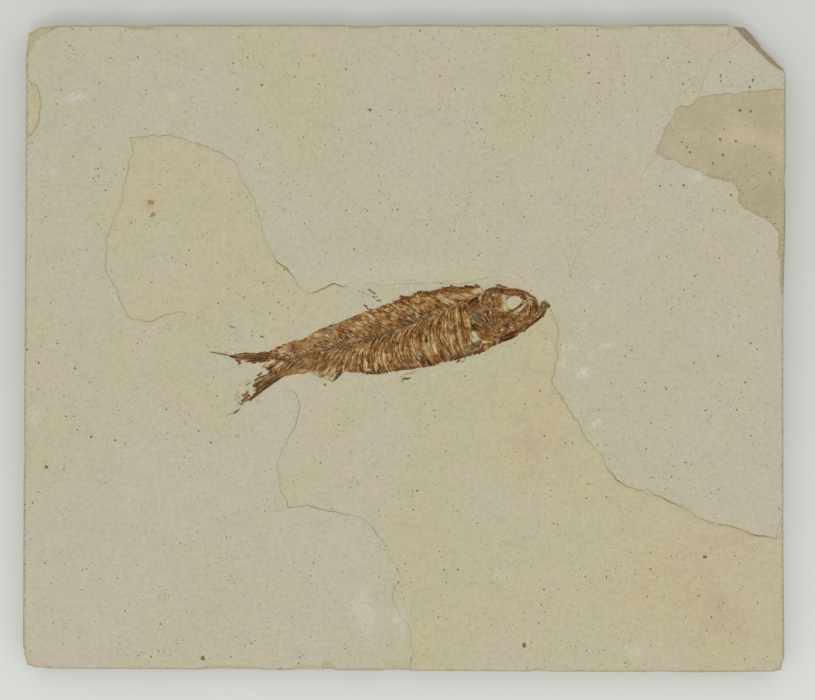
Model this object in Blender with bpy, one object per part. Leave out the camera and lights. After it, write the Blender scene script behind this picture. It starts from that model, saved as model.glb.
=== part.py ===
"""Fossil fish slab: a plate of laminated limestone with a small herring lying in its top face.

Metres, +Z up. The slab lies on its flat back at z = 0, centred on the origin, with its long
side along X. The fish lies flat in a shallow bed of the stone, its head towards +X and its
back towards +Y. Outlines are written in millimetres: the slab's in its own frame, the fish's
in a frame whose X runs along the body from the root of the tail.
"""
import math

import bmesh
import bpy
from mathutils import Matrix

MM = 0.001

# Driving dimensions, in millimetres.
SLAB_LENGTH = 229.2
SLAB_WIDTH = 194.8
SLAB_THICKNESS = 9.0
LAMINA_STEP = 0.4
EDGE_BREAK_RUN = 2.3
FISH_PLACE = (-35.8, -3.9)
FISH_TURN = math.radians(15.0)
FILM_THICKNESS = 0.5
FILM_PROUD = 0.2
FIT_GAP = 0.3
VERTEBRA_PITCH = 1.65
VERTEBRA_COUNT = 35
VERTEBRA_RADIUS = 0.58
RIB_RADIUS = 0.24
RAY_RADIUS = 0.2
CURVE_STEPS = 3

BED_LEVEL = SLAB_THICKNESS - LAMINA_STEP
FILM_TOP = FILM_PROUD
FILM_BOTTOM = FILM_TOP - FILM_THICKNESS
POCKET_FLOOR = FILM_BOTTOM - FIT_GAP
BONE_LEVEL = FILM_TOP
OVERCUT = 4.0

# Plan outline of the slab. Its longest stretches bow by less than a millimetre.
HALF_LENGTH = SLAB_LENGTH / 2
HALF_WIDTH = SLAB_WIDTH / 2
SLAB_OUTLINE = [
    (-113.4, 94.6), (-110.0, 96.8), (-82.0, 97.1), (58.0, 97.2), (97.1, HALF_WIDTH), (101.9, 96.0),
    (104.3, 93.5), (106.4, 90.8), (109.7, 87.9), (112.4, 84.8), (114.3, 82.5), (HALF_LENGTH, 59.0),
    (113.9, 14.0), (113.8, -52.0), (114.2, -93.0), (113.0, -97.0), (88.0, -HALF_WIDTH), (58.0, -97.2),
    (-61.0, -96.6), (-108.0, -96.3), (-113.4, -95.4), (-114.4, -92.0), (-HALF_LENGTH, -87.0),
    (-114.1, 0.0), (-113.7, 86.0),
]

# Where the upper layers of stone have split away and a lower one shows.
FISH_BED = [
    (-15.7, 18.0), (-24.7, 18.3), (-28.9, 16.5), (-37.3, 26.1), (-41.5, 31.5), (-43.0, 38.4),
    (-50.2, 55.2), (-58.3, 60.0), (-67.3, 63.0), (-82.6, 63.3), (-83.5, 51.0), (-89.8, 30.6),
    (-89.5, 22.8), (-85.0, 13.5), (-80.8, 8.4), (-65.5, 10.5), (-65.5, 5.4), (-60.4, 1.8),
    (-50.0, -8.0), (-44.0, -13.0), (-34.3, -12.6), (-31.6, -16.2),
    (-38.2, -34.5), (-36.4, -44.1), (-34.9, -48.0), (-14.8, -50.4), (-7.3, -57.0), (-1.3, -69.6),
    (-3.7, -74.7), (2.6, -86.0), (2.6, -102.0), (119.0, -102.0), (119.0, -59.0), (111.5, -57.3),
    (90.2, -51.6), (69.8, -42.6), (63.8, -39.6), (51.8, -21.6), (44.3, -10.8), (46.4, 3.9),
    (45.6, 11.5), (41.5, 16.0), (34.7, 20.1), (22.7, 20.7), (-13.3, 18.9),
]
RIGHT_FLAKE_DEPTH = 0.5
RIGHT_FLAKE = [
    (119.0, 78.0), (93.8, 76.2), (81.8, 72.0), (75.2, 58.8), (83.9, 54.9), (96.8, 50.1),
    (100.7, 43.5), (112.4, 34.5), (113.6, 14.4), (119.0, 13.8),
]
LEFT_FLAKE_DEPTH = 0.7
LEFT_FLAKE = [(-119.0, 82.0), (-113.5, 81.9), (-109.0, 72.9), (-110.5, 66.0), (-119.0, 62.0)]

# Round the tail the upper layers thin out to nothing instead of breaking off in a step.
TAIL_SLOPE_PLACE = (-53.0, -7.0)
TAIL_SLOPE_RADII = (15.0, 29.0)
TAIL_SLOPE_SIDES = 32

# Corners broken off: the break's line on the top face, with the lost corner on its left, and
# how far the break runs outwards on its way down.
CORNER_BREAKS = {
    "right_corner": ((97.4, 97.2), (114.2, 82.9), EDGE_BREAK_RUN),
    "left_corner": ((-113.5, 91.6), (-107.0, 96.2), 2.0),
    "front_corner": ((-108.7, -95.8), (-113.9, -91.8), 1.2),
}
WEDGE_DEPTH = 12.0
WEDGE_HEIGHT = 3 * SLAB_THICKNESS
WEDGE_REACH = 1.6

# Chips knocked off the upper edges: the middle (x, y), the half length along X and the depth.
EDGE_CHIPS = [
    (-78.0, HALF_WIDTH, 5.0, 1.2), (-12.0, HALF_WIDTH, 6.0, 1.4), (43.0, HALF_WIDTH, 3.0, 1.0),
    (65.0, HALF_WIDTH, 4.0, 1.3), (-51.0, -HALF_WIDTH, 8.0, 1.8), (-29.0, -HALF_WIDTH, 4.0, 2.2),
    (-22.5, -HALF_WIDTH, 2.5, 3.2), (-2.0, -HALF_WIDTH, 4.0, 3.0),
]
CHIP_HEIGHT = 2.4
CHIP_CENTRE = SLAB_THICKNESS + 0.2

# Fish outlines, head towards +X.
TRUNK_BACK = [
    (-2.9, 4.2), (4.5, 4.9), (9.0, 5.4), (13.0, 6.6), (25.0, 7.5), (36.0, 8.6), (45.0, 9.1), (52.0, 8.7),
    (60.0, 7.0), (62.5, 5.7),
]
TRUNK_FRONT = [
    (60.6, 3.3), (57.6, 2.6), (56.0, 0.6), (55.3, -2.3), (55.4, -5.6), (56.8, -7.4), (57.4, -8.9),
]
TRUNK_BELLY = [
    (50.0, -10.0), (41.5, -11.8), (32.7, -11.5), (24.0, -10.2), (15.1, -7.5), (6.4, -5.4), (-2.6, -4.3),
]
TRUNK_END = [(-1.8, -2.4), (-0.8, -0.7), (-2.2, 2.2)]
TRUNK_OUTLINE = TRUNK_BACK + TRUNK_FRONT + TRUNK_BELLY + TRUNK_END
BACKBONE = [(-1.2, -0.3), (10.0, 0.4), (20.0, -0.1), (30.0, 0.2), (40.0, 1.1), (50.0, 2.1), (56.0, 2.5)]
SKULL = [
    (62.2, 3.7), (63.1, 4.9), (65.7, 5.5), (68.1, 5.2), (75.5, 1.3), (78.0, -2.1), (78.0, -3.8),
    (76.8, -5.2), (75.2, -6.5), (72.4, -7.9), (69.3, -8.4), (64.9, -8.0), (66.0, -4.9), (67.0, -1.9),
    (67.2, 0.9), (64.0, 1.9),
]
EYE_PLACE = (70.9, -0.2)
EYE_RADII = (2.4, 1.8)
EYE_STEPS = 16
GILL_COVER = [
    (58.1, 1.9), (59.8, 3.0), (61.6, 3.2), (63.6, 1.5), (66.7, 0.5), (66.4, -2.2), (65.5, -5.1),
    (64.4, -8.3), (63.0, -10.8), (60.6, -10.0), (58.3, -8.3), (56.3, -5.4), (56.1, -2.6), (56.8, 0.3),
]
LOWER_JAW = [
    (63.4, -11.6), (66.4, -11.5), (69.7, -10.5), (72.9, -9.6), (76.0, -8.6), (78.9, -7.2), (80.2, -5.6),
    (81.0, -4.2), (79.6, -3.1), (78.8, -3.2), (78.2, -4.6), (77.0, -5.7), (75.4, -7.0), (72.6, -8.3),
    (69.4, -8.8), (65.0, -8.5),
]
PECTORAL_FIN = [
    (57.6, -9.5), (54.9, -9.6), (50.0, -10.4), (45.2, -11.2), (42.0, -12.3), (46.4, -12.6), (52.0, -12.9),
    (57.0, -12.8), (60.5, -12.1), (62.9, -12.1), (62.6, -11.3), (60.2, -10.5),
]
TAIL_FIN = [
    (-3.3, 4.2), (-9.5, 5.0), (-14.7, 6.4), (-15.9, 5.5), (-13.8, 3.1), (-10.3, 2.0), (-6.5, 1.1),
    (-5.5, -1.0), (-9.1, -2.8), (-11.2, -4.8), (-12.6, -6.6), (-16.1, -9.0), (-13.2, -8.7), (-9.7, -7.0),
    (-6.2, -5.8), (-3.0, -4.5), (-2.3, -2.4), (-1.3, -0.7), (-2.7, 2.2),
]
ANAL_FIN = [(15.4, -7.9), (14.2, -9.0), (12.6, -9.7), (9.4, -8.0), (6.4, -6.2), (6.5, -5.8), (11.0, -7.0)]

# The outer bones of the head: a path along each, and its radius.
ROOF = ([(63.8, 4.2), (66.0, 4.6), (69.0, 3.8), (74.6, 1.0), (76.6, -1.4)], 0.32)
CHEEK = ([(68.0, -5.6), (72.0, -5.4), (75.6, -4.6), (77.0, -3.4)], 0.28)
GILL_FRONT = ([(65.6, -0.4), (65.0, -4.0), (63.4, -8.0), (61.8, -9.6)], 0.32)
JAW_EDGE = ([(65.2, -10.6), (69.6, -9.6), (75.6, -7.7), (79.0, -5.6)], 0.3)
# The ring of bone round the eye is open in front, and lies a little outside the socket.
SOCKET_GAP = (0.45, 0.4)
SOCKET_SPAN = slice(2, 15)
SOCKET_RADIUS = 0.26
# The rays of the gill cover spread from one hinge at its upper front.
GILL_HINGE = (64.4, -0.6)
GILL_TIPS = [(57.4, 0.4), (57.0, -2.6), (57.6, -5.6), (59.4, -8.0)]
GILL_RAY_RADIUS = 0.24

# The rays of each fin: where the first one starts, the step from one to the next, and the tips.
UPPER_RAYS = (
    (-3.6, 3.4), (0.0, -0.55),
    [(-14.6, 5.8), (-14.6, 4.9), (-13.2, 3.9), (-10.6, 2.8), (-7.4, 2.0)],
)
LOWER_RAYS = (
    (-3.6, -3.7), (0.0, 0.5),
    [(-14.4, -8.3), (-12.6, -7.3), (-11.0, -5.8), (-9.4, -4.2), (-7.0, -2.6)],
)
ANAL_RAYS = ((14.6, -8.0), (-1.7, 0.55), [(13.1, -9.05), (11.4, -8.34), (9.7, -7.63), (8.0, -6.92)])
PECTORAL_RAYS = ((58.6, -11.2), (0.0, 0.0), [(46.0, -12.0), (49.0, -12.1), (52.0, -12.2), (55.0, -12.3)])

# How a rib and the spines leave the backbone: the way back towards the tail and the way out,
# as shares of the room between backbone and body edge.
RIB_SHAPE = [(0.0, 0.0), (0.22, 0.28), (0.33, 0.62), (0.27, 0.92)]
NEURAL_SHAPE = [(0.0, 0.0), (0.25, 0.36), (0.62, 0.74)]
HAEMAL_SHAPE = [(0.0, 0.0), (0.35, 0.4), (0.85, 0.82)]
FIRST_RIB = 17.0

# A vertebra is a bead: a waist just behind each joint and full girth at its middle.
VERTEBRA_SHAPE = [(0.05, 0.55), (0.5, 1.0)]

# The rows of scutes along the back and the belly: the first one's x, the pitch, the count, how
# far inside the edge they lie, and how far each one's rear end drops.
BACK_SCUTES = (33.5, 1.95, 14, 0.45, 0.0)
BELLY_SCUTES = (21.0, 2.0, 10, -0.5, 0.1)
SCUTE_LENGTH = 1.2
SCUTE_RADIUS = 0.3

# Loose scraps of fin and scale that lie beside the body: a path, and the half width.
SCRAPS = {
    "pelvic_fin": ([(32.0, -14.9), (33.2, -13.8), (34.2, -14.5), (35.3, -14.2)], 0.35),
    "back_spine": ([(27.2, 10.2), (28.1, 9.2), (28.6, 8.6)], 0.22),
    "dorsal_ray_1": ([(29.4, 14.3), (30.6, 13.6)], 0.2),
    "dorsal_ray_2": ([(30.3, 12.7), (31.5, 12.2)], 0.2),
    "dorsal_ray_3": ([(31.0, 10.6), (32.8, 10.1)], 0.2),
    "tail_ray_1": ([(-21.3, 8.5), (-18.6, 7.4), (-16.6, 6.6)], 0.2),
    "tail_ray_2": ([(-19.6, -11.4), (-18.3, -10.7), (-17.0, -10.1)], 0.3),
    "tail_ray_3": ([(-21.9, -11.4), (-20.9, -11.4)], 0.2),
}

LIMESTONE = ("limestone", (0.50, 0.46, 0.34), 0.9)
BODY_BONE = ("body_bone", (0.24, 0.13, 0.05), 0.6)
HEAD_BONE = ("head_bone", (0.16, 0.09, 0.04), 0.5)
FIN_BONE = ("fin_bone", (0.15, 0.07, 0.03), 0.6)


def clear_scene():
    """Empty the scene."""
    for old in list(bpy.data.objects):
        bpy.data.objects.remove(old)


def new_collection(name):
    """A collection in the scene, for one piece's parts or cutters."""
    group = bpy.data.collections.new(name)
    bpy.context.scene.collection.children.link(group)
    return group


def material(name, colour, roughness):
    """The plain material of one colour slot, made the first time it is asked for."""
    made = bpy.data.materials.get(name)
    if made is None:
        made = bpy.data.materials.new(name)
        made.use_nodes = True
        surface = made.node_tree.nodes["Principled BSDF"]
        surface.inputs["Base Color"].default_value = (*colour, 1.0)
        surface.inputs["Roughness"].default_value = roughness
        surface.inputs["Metallic"].default_value = 0.0
    return made


def mesh_from_curve(curve_object, group, look=None):
    """Turn a curve object into a closed mesh object of the same name."""
    curve_object_name = curve_object.name
    bpy.context.scene.collection.objects.link(curve_object)
    bpy.context.view_layer.update()
    evaluated = curve_object.evaluated_get(bpy.context.evaluated_depsgraph_get())
    mesh = bpy.data.meshes.new_from_object(evaluated)
    bpy.data.objects.remove(curve_object)
    weld = bmesh.new()
    weld.from_mesh(mesh)
    bmesh.ops.remove_doubles(weld, verts=weld.verts, dist=0.005 * MM)
    bmesh.ops.recalc_face_normals(weld, faces=weld.faces)
    weld.to_mesh(mesh)
    weld.free()
    made = bpy.data.objects.new(curve_object_name, mesh)
    if look is not None:
        mesh.materials.clear()
        mesh.materials.append(material(*look))
    group.objects.link(made)
    return made


def flat_solid(name, outline, bottom, top, group, look=None, holes=(), smooth=0, grow=0.0):
    """A flat plate between two heights, from its outline and the outlines of its holes."""
    curve = bpy.data.curves.new(name, "CURVE")
    curve.dimensions = "2D"
    curve.fill_mode = "BOTH"
    curve.extrude = (top - bottom) / 2 * MM
    curve.offset = grow * MM
    for loop in (outline, *holes):
        spline = curve.splines.new("BEZIER" if smooth else "POLY")
        points = spline.bezier_points if smooth else spline.points
        points.add(len(loop) - 1)
        for point, (x, y) in zip(points, loop):
            if smooth:
                point.co = (x * MM, y * MM, 0.0)
                point.handle_left_type = "AUTO"
                point.handle_right_type = "AUTO"
            else:
                point.co = (x * MM, y * MM, 0.0, 1.0)
        spline.use_cyclic_u = True
        spline.resolution_u = max(smooth, 1)
    plate = mesh_from_curve(bpy.data.objects.new(name, curve), group, look)
    plate.location.z = (top + bottom) / 2 * MM
    return plate


def bone(name, path, radius, height, group, look=None, sides=1, swell=None):
    """A thin round bone along a path of (x, y) points, its middle at one height."""
    curve = bpy.data.curves.new(name, "CURVE")
    curve.dimensions = "3D"
    curve.bevel_depth = radius * MM
    curve.bevel_resolution = sides
    curve.use_fill_caps = True
    spline = curve.splines.new("POLY")
    spline.points.add(len(path) - 1)
    for place, (point, (x, y)) in enumerate(zip(spline.points, path)):
        point.co = (x * MM, y * MM, height * MM, 1.0)
        point.radius = swell[place] if swell else 1.0
    return mesh_from_curve(bpy.data.objects.new(name, curve), group, look)


def fuse_all(joins):
    """Add the Booleans: each unites a collection with its base object or cuts it away."""
    for base, operation, group in joins:
        for piece in group.objects:
            piece.hide_render = True
            piece.display_type = "WIRE"
        step = base.modifiers.new(group.name, "BOOLEAN")
        step.operation = operation
        step.solver = "EXACT"
        step.operand_type = "COLLECTION"
        step.collection = group


def height_on(line, x):
    """The y of a line of (x, y) points, sorted by x, at one x."""
    for (x0, y0), (x1, y1) in zip(line, line[1:]):
        if x0 <= x <= x1:
            return y0 + (y1 - y0) * (x - x0) / (x1 - x0)
    return line[0][1] if x < line[0][0] else line[-1][1]


def move_to(group, piece):
    """Put an object in one collection only."""
    for home in list(piece.users_collection):
        home.objects.unlink(piece)
    group.objects.link(piece)


def ring(middle, radii, count):
    """Points of an ellipse."""
    turns = [2 * math.pi * step / count for step in range(count)]
    return [(middle[0] + radii[0] * math.cos(turn), middle[1] + radii[1] * math.sin(turn)) for turn in turns]


def make_axis(parts):
    """The empty that carries the fish: its X runs along the body, its z = 0 is the bed."""
    axis = bpy.data.objects.new("fish_axis", None)
    axis.location = (FISH_PLACE[0] * MM, FISH_PLACE[1] * MM, BED_LEVEL * MM)
    axis.rotation_euler.z = FISH_TURN
    parts.objects.link(axis)
    return axis


def make_trunk(parts, axis):
    """The flattened body: a film of skin with backbone, ribs, spines and scutes on it."""
    trunk = flat_solid("trunk", TRUNK_OUTLINE, FILM_BOTTOM, FILM_TOP, parts, BODY_BONE)
    ridges = new_collection("trunk_ridges")
    belly = sorted(TRUNK_BELLY)

    beads = []
    swell = []
    start = BACKBONE[0][0]
    for number in range(VERTEBRA_COUNT):
        for offset, girth in VERTEBRA_SHAPE:
            x = start + (number + offset) * VERTEBRA_PITCH
            beads.append((x, height_on(BACKBONE, x)))
            swell.append(girth)
    bone("backbone", beads, VERTEBRA_RADIUS, BONE_LEVEL, ridges, sides=0, swell=swell)

    for number in range(1, VERTEBRA_COUNT):
        x = start + (number + 0.5) * VERTEBRA_PITCH
        level = height_on(BACKBONE, x)
        above = height_on(TRUNK_BACK, x) - level
        below = level - height_on(belly, x)
        spine = [(x - bow * above, level + rise * above) for bow, rise in NEURAL_SHAPE]
        bone(f"neural_spine_{number}", spine, RIB_RADIUS, BONE_LEVEL, ridges, sides=0)
        if x < FIRST_RIB:
            spine = [(x - bow * below, level - drop * below) for bow, drop in HAEMAL_SHAPE]
            bone(f"haemal_spine_{number}", spine, RIB_RADIUS, BONE_LEVEL, ridges, sides=0)
        else:
            rib = [(x - bow * below, level - drop * below) for bow, drop in RIB_SHAPE]
            bone(f"rib_{number}", rib, RIB_RADIUS, BONE_LEVEL, ridges, sides=0)

    for row, edge, (first, pitch, count, inset, drop) in (
        ("back", TRUNK_BACK, BACK_SCUTES),
        ("belly", belly, BELLY_SCUTES),
    ):
        for number in range(count):
            x = first + pitch * number
            y = height_on(edge, x) - inset
            scute = [(x - SCUTE_LENGTH / 2, y), (x + SCUTE_LENGTH / 2, y + drop)]
            bone(f"{row}_scute_{number}", scute, SCUTE_RADIUS, BONE_LEVEL, ridges, sides=0)
    adopt(axis, [trunk, *ridges.objects])
    return [(trunk, "UNION", ridges)]


def make_head(parts, axis):
    """Skull with an open eye socket, the gill cover behind it and the lower jaw under it."""
    eye = ring(EYE_PLACE, EYE_RADII, EYE_STEPS)
    skull = flat_solid("skull", SKULL, FILM_BOTTOM, FILM_TOP, parts, HEAD_BONE, holes=[eye])
    brow = new_collection("skull_ridges")
    socket = ring(EYE_PLACE, (EYE_RADII[0] + SOCKET_GAP[0], EYE_RADII[1] + SOCKET_GAP[1]), EYE_STEPS)
    bone("socket_rim", socket[SOCKET_SPAN], SOCKET_RADIUS, BONE_LEVEL, brow, sides=0)
    bone("roof", *ROOF, BONE_LEVEL, brow)
    bone("cheek", *CHEEK, BONE_LEVEL, brow, sides=0)

    gill_cover = flat_solid("gill_cover", GILL_COVER, FILM_BOTTOM, FILM_TOP, parts, HEAD_BONE)
    blades = new_collection("gill_cover_ridges")
    bone("front_blade", *GILL_FRONT, BONE_LEVEL, blades)
    for number, tip in enumerate(GILL_TIPS):
        bone(f"blade_{number}", [GILL_HINGE, tip], GILL_RAY_RADIUS, BONE_LEVEL, blades, sides=0)

    lower_jaw = flat_solid("lower_jaw", LOWER_JAW, FILM_BOTTOM, FILM_TOP, parts, HEAD_BONE)
    edge = new_collection("lower_jaw_ridges")
    bone("jaw_edge", *JAW_EDGE, BONE_LEVEL, edge)
    adopt(axis, [skull, gill_cover, lower_jaw, *brow.objects, *blades.objects, *edge.objects])
    return [(skull, "UNION", brow), (gill_cover, "UNION", blades), (lower_jaw, "UNION", edge)]


def make_fins(parts, axis):
    """Forked tail, anal fin and pectoral fin, each a film with its rays on it."""
    joins = []
    for name, outline, fans in (
        ("tail_fin", TAIL_FIN, (UPPER_RAYS, LOWER_RAYS)),
        ("anal_fin", ANAL_FIN, (ANAL_RAYS,)),
        ("pectoral_fin", PECTORAL_FIN, (PECTORAL_RAYS,)),
    ):
        film = flat_solid(name, outline, FILM_BOTTOM, FILM_TOP, parts, FIN_BONE)
        rays = new_collection(f"{name}_ridges")
        for fan, (first, step, tips) in enumerate(fans):
            for number, tip in enumerate(tips):
                root = (first[0] + step[0] * number, first[1] + step[1] * number)
                bone(f"{name}_ray_{fan}_{number}", [root, tip], RAY_RADIUS, BONE_LEVEL, rays, sides=0)
        adopt(axis, [film, *rays.objects])
        joins.append((film, "UNION", rays))
    return joins


def make_scraps(parts, axis):
    """The loose ray tips, spine and fin scraps that lie apart from the body."""
    scraps = [bone(name, path, width, 0.0, parts, FIN_BONE) for name, (path, width) in SCRAPS.items()]
    adopt(axis, scraps)


def adopt(axis, pieces):
    """Let the fish's axis carry these pieces."""
    for piece in pieces:
        piece.parent = axis


def make_bed_cutters(axis):
    """What the fish takes out of the stone: each outline with the fitting gap round it."""
    hollows = new_collection("fish_cutters")
    outlines = [TRUNK_OUTLINE, SKULL, GILL_COVER, LOWER_JAW, PECTORAL_FIN, TAIL_FIN, ANAL_FIN]
    top = FILM_TOP + OVERCUT
    for number, outline in enumerate(outlines):
        flat_solid(f"hollow_{number}", outline, POCKET_FLOOR, top, hollows, grow=FIT_GAP)
    for name, (path, width) in SCRAPS.items():
        bone(f"{name}_hollow", path, width + FIT_GAP, 0.0, hollows)
    adopt(axis, hollows.objects)
    return hollows


def make_slab(parts, axis):
    """The limestone plate, its split layers, broken corner, chips and the fish's bed."""
    slab = flat_solid("slab", SLAB_OUTLINE, 0.0, SLAB_THICKNESS, parts, LIMESTONE)

    layers = new_collection("layer_cutters")
    above = SLAB_THICKNESS + OVERCUT
    right_level = SLAB_THICKNESS - RIGHT_FLAKE_DEPTH
    left_level = SLAB_THICKNESS - LEFT_FLAKE_DEPTH
    flat_solid("fish_bed", FISH_BED, BED_LEVEL, above, layers, smooth=CURVE_STEPS)
    flat_solid("right_flake", RIGHT_FLAKE, right_level, above, layers, smooth=CURVE_STEPS)
    flat_solid("left_flake", LEFT_FLAKE, left_level, above, layers)
    foot, edge = TAIL_SLOPE_RADII
    bpy.ops.mesh.primitive_cone_add(
        vertices=TAIL_SLOPE_SIDES,
        radius1=foot * MM,
        radius2=(2 * edge - foot) * MM,
        depth=2 * LAMINA_STEP * MM,
    )
    slope = bpy.context.object
    slope.name = "tail_slope"
    slope.location = (TAIL_SLOPE_PLACE[0] * MM, TAIL_SLOPE_PLACE[1] * MM, SLAB_THICKNESS * MM)
    move_to(layers, slope)

    breaks = new_collection("break_cutters")
    for name, (start, end, run) in CORNER_BREAKS.items():
        bpy.ops.mesh.primitive_cube_add(size=1.0)
        wedge = bpy.context.object
        wedge.name = f"{name}_break"
        wedge.data.transform(Matrix.Translation((0.0, 0.5, 0.0)))
        wedge.scale = (WEDGE_REACH * math.dist(start, end) * MM, WEDGE_DEPTH * MM, WEDGE_HEIGHT * MM)
        wedge.location = ((start[0] + end[0]) / 2 * MM, (start[1] + end[1]) / 2 * MM, SLAB_THICKNESS * MM)
        lean = math.atan2(run, SLAB_THICKNESS)
        wedge.rotation_euler = (lean, 0.0, math.atan2(end[1] - start[1], end[0] - start[0]))
        move_to(breaks, wedge)

    chips = new_collection("chip_cutters")
    for number, (x, y, half_length, depth) in enumerate(EDGE_CHIPS):
        bpy.ops.mesh.primitive_uv_sphere_add(segments=10, ring_count=6, radius=1.0)
        chip = bpy.context.object
        chip.name = f"chip_{number}"
        chip.location = (x * MM, y * MM, CHIP_CENTRE * MM)
        chip.scale = (half_length * MM, depth * MM, CHIP_HEIGHT * MM)
        move_to(chips, chip)
    hollows = make_bed_cutters(axis)
    return [(slab, "DIFFERENCE", group) for group in (layers, breaks, chips, hollows)]


def main():
    clear_scene()
    parts = new_collection("fossil_fish_slab")
    axis = make_axis(parts)
    make_scraps(parts, axis)
    joins = make_slab(parts, axis) + make_trunk(parts, axis) + make_head(parts, axis) + make_fins(parts, axis)
    fuse_all(joins)
    bpy.context.view_layer.update()


main()
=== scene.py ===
"""Fossil fish slab: a small herring pressed flat in the top face of a plate of limestone.

The stone comes first, split along its layers, then the fish from its skin film to its bones,
then the table and the light. Sizes are in millimetres until a mesh is made.
"""
import math

import bpy
import numpy as np
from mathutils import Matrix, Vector, geometry
from mathutils.bvhtree import BVHTree


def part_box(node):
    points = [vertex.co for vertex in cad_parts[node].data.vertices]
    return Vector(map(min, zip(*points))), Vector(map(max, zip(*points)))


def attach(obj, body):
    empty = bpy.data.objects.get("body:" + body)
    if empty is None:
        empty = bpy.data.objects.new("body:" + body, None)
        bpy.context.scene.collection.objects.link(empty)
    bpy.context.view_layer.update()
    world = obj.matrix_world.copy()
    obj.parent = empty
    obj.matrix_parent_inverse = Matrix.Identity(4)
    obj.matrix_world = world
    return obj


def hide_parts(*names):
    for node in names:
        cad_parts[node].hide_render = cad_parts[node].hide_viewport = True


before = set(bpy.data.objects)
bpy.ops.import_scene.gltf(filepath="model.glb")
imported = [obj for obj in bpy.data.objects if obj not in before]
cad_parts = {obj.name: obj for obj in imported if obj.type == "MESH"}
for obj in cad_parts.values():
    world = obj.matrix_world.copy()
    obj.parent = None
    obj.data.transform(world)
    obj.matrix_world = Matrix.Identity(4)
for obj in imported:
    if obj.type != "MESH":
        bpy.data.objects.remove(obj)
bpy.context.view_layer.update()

# ---------------------------------------------------------------- slab: its broken layers
# A plate of fine cream limestone, laid down in a lake in thin layers. It was split out along
# them, so patches of an upper layer have come away and their broken edges run over the face.
MM = 0.001
slab_low, slab_high = (Vector(corner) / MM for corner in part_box("slab"))
STONE_TOP = slab_high.z
DRAWING_STEP = 0.3
SLAB_LEFT, SLAB_UPPER = 22.4, 23.3
FIRST_COLUMN = slab_low.x - SLAB_LEFT * DRAWING_STEP
FIRST_ROW = slab_high.y + SLAB_UPPER * DRAWING_STEP


def drawn(points):
    """Columns and rows of the drawing, counted right and down in 0.3 mm steps, in millimetres."""
    grid = np.array(points, float).reshape(-1, 2)
    return np.column_stack([FIRST_COLUMN + grid[:, 0] * DRAWING_STEP, FIRST_ROW - grid[:, 1] * DRAWING_STEP])


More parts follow.
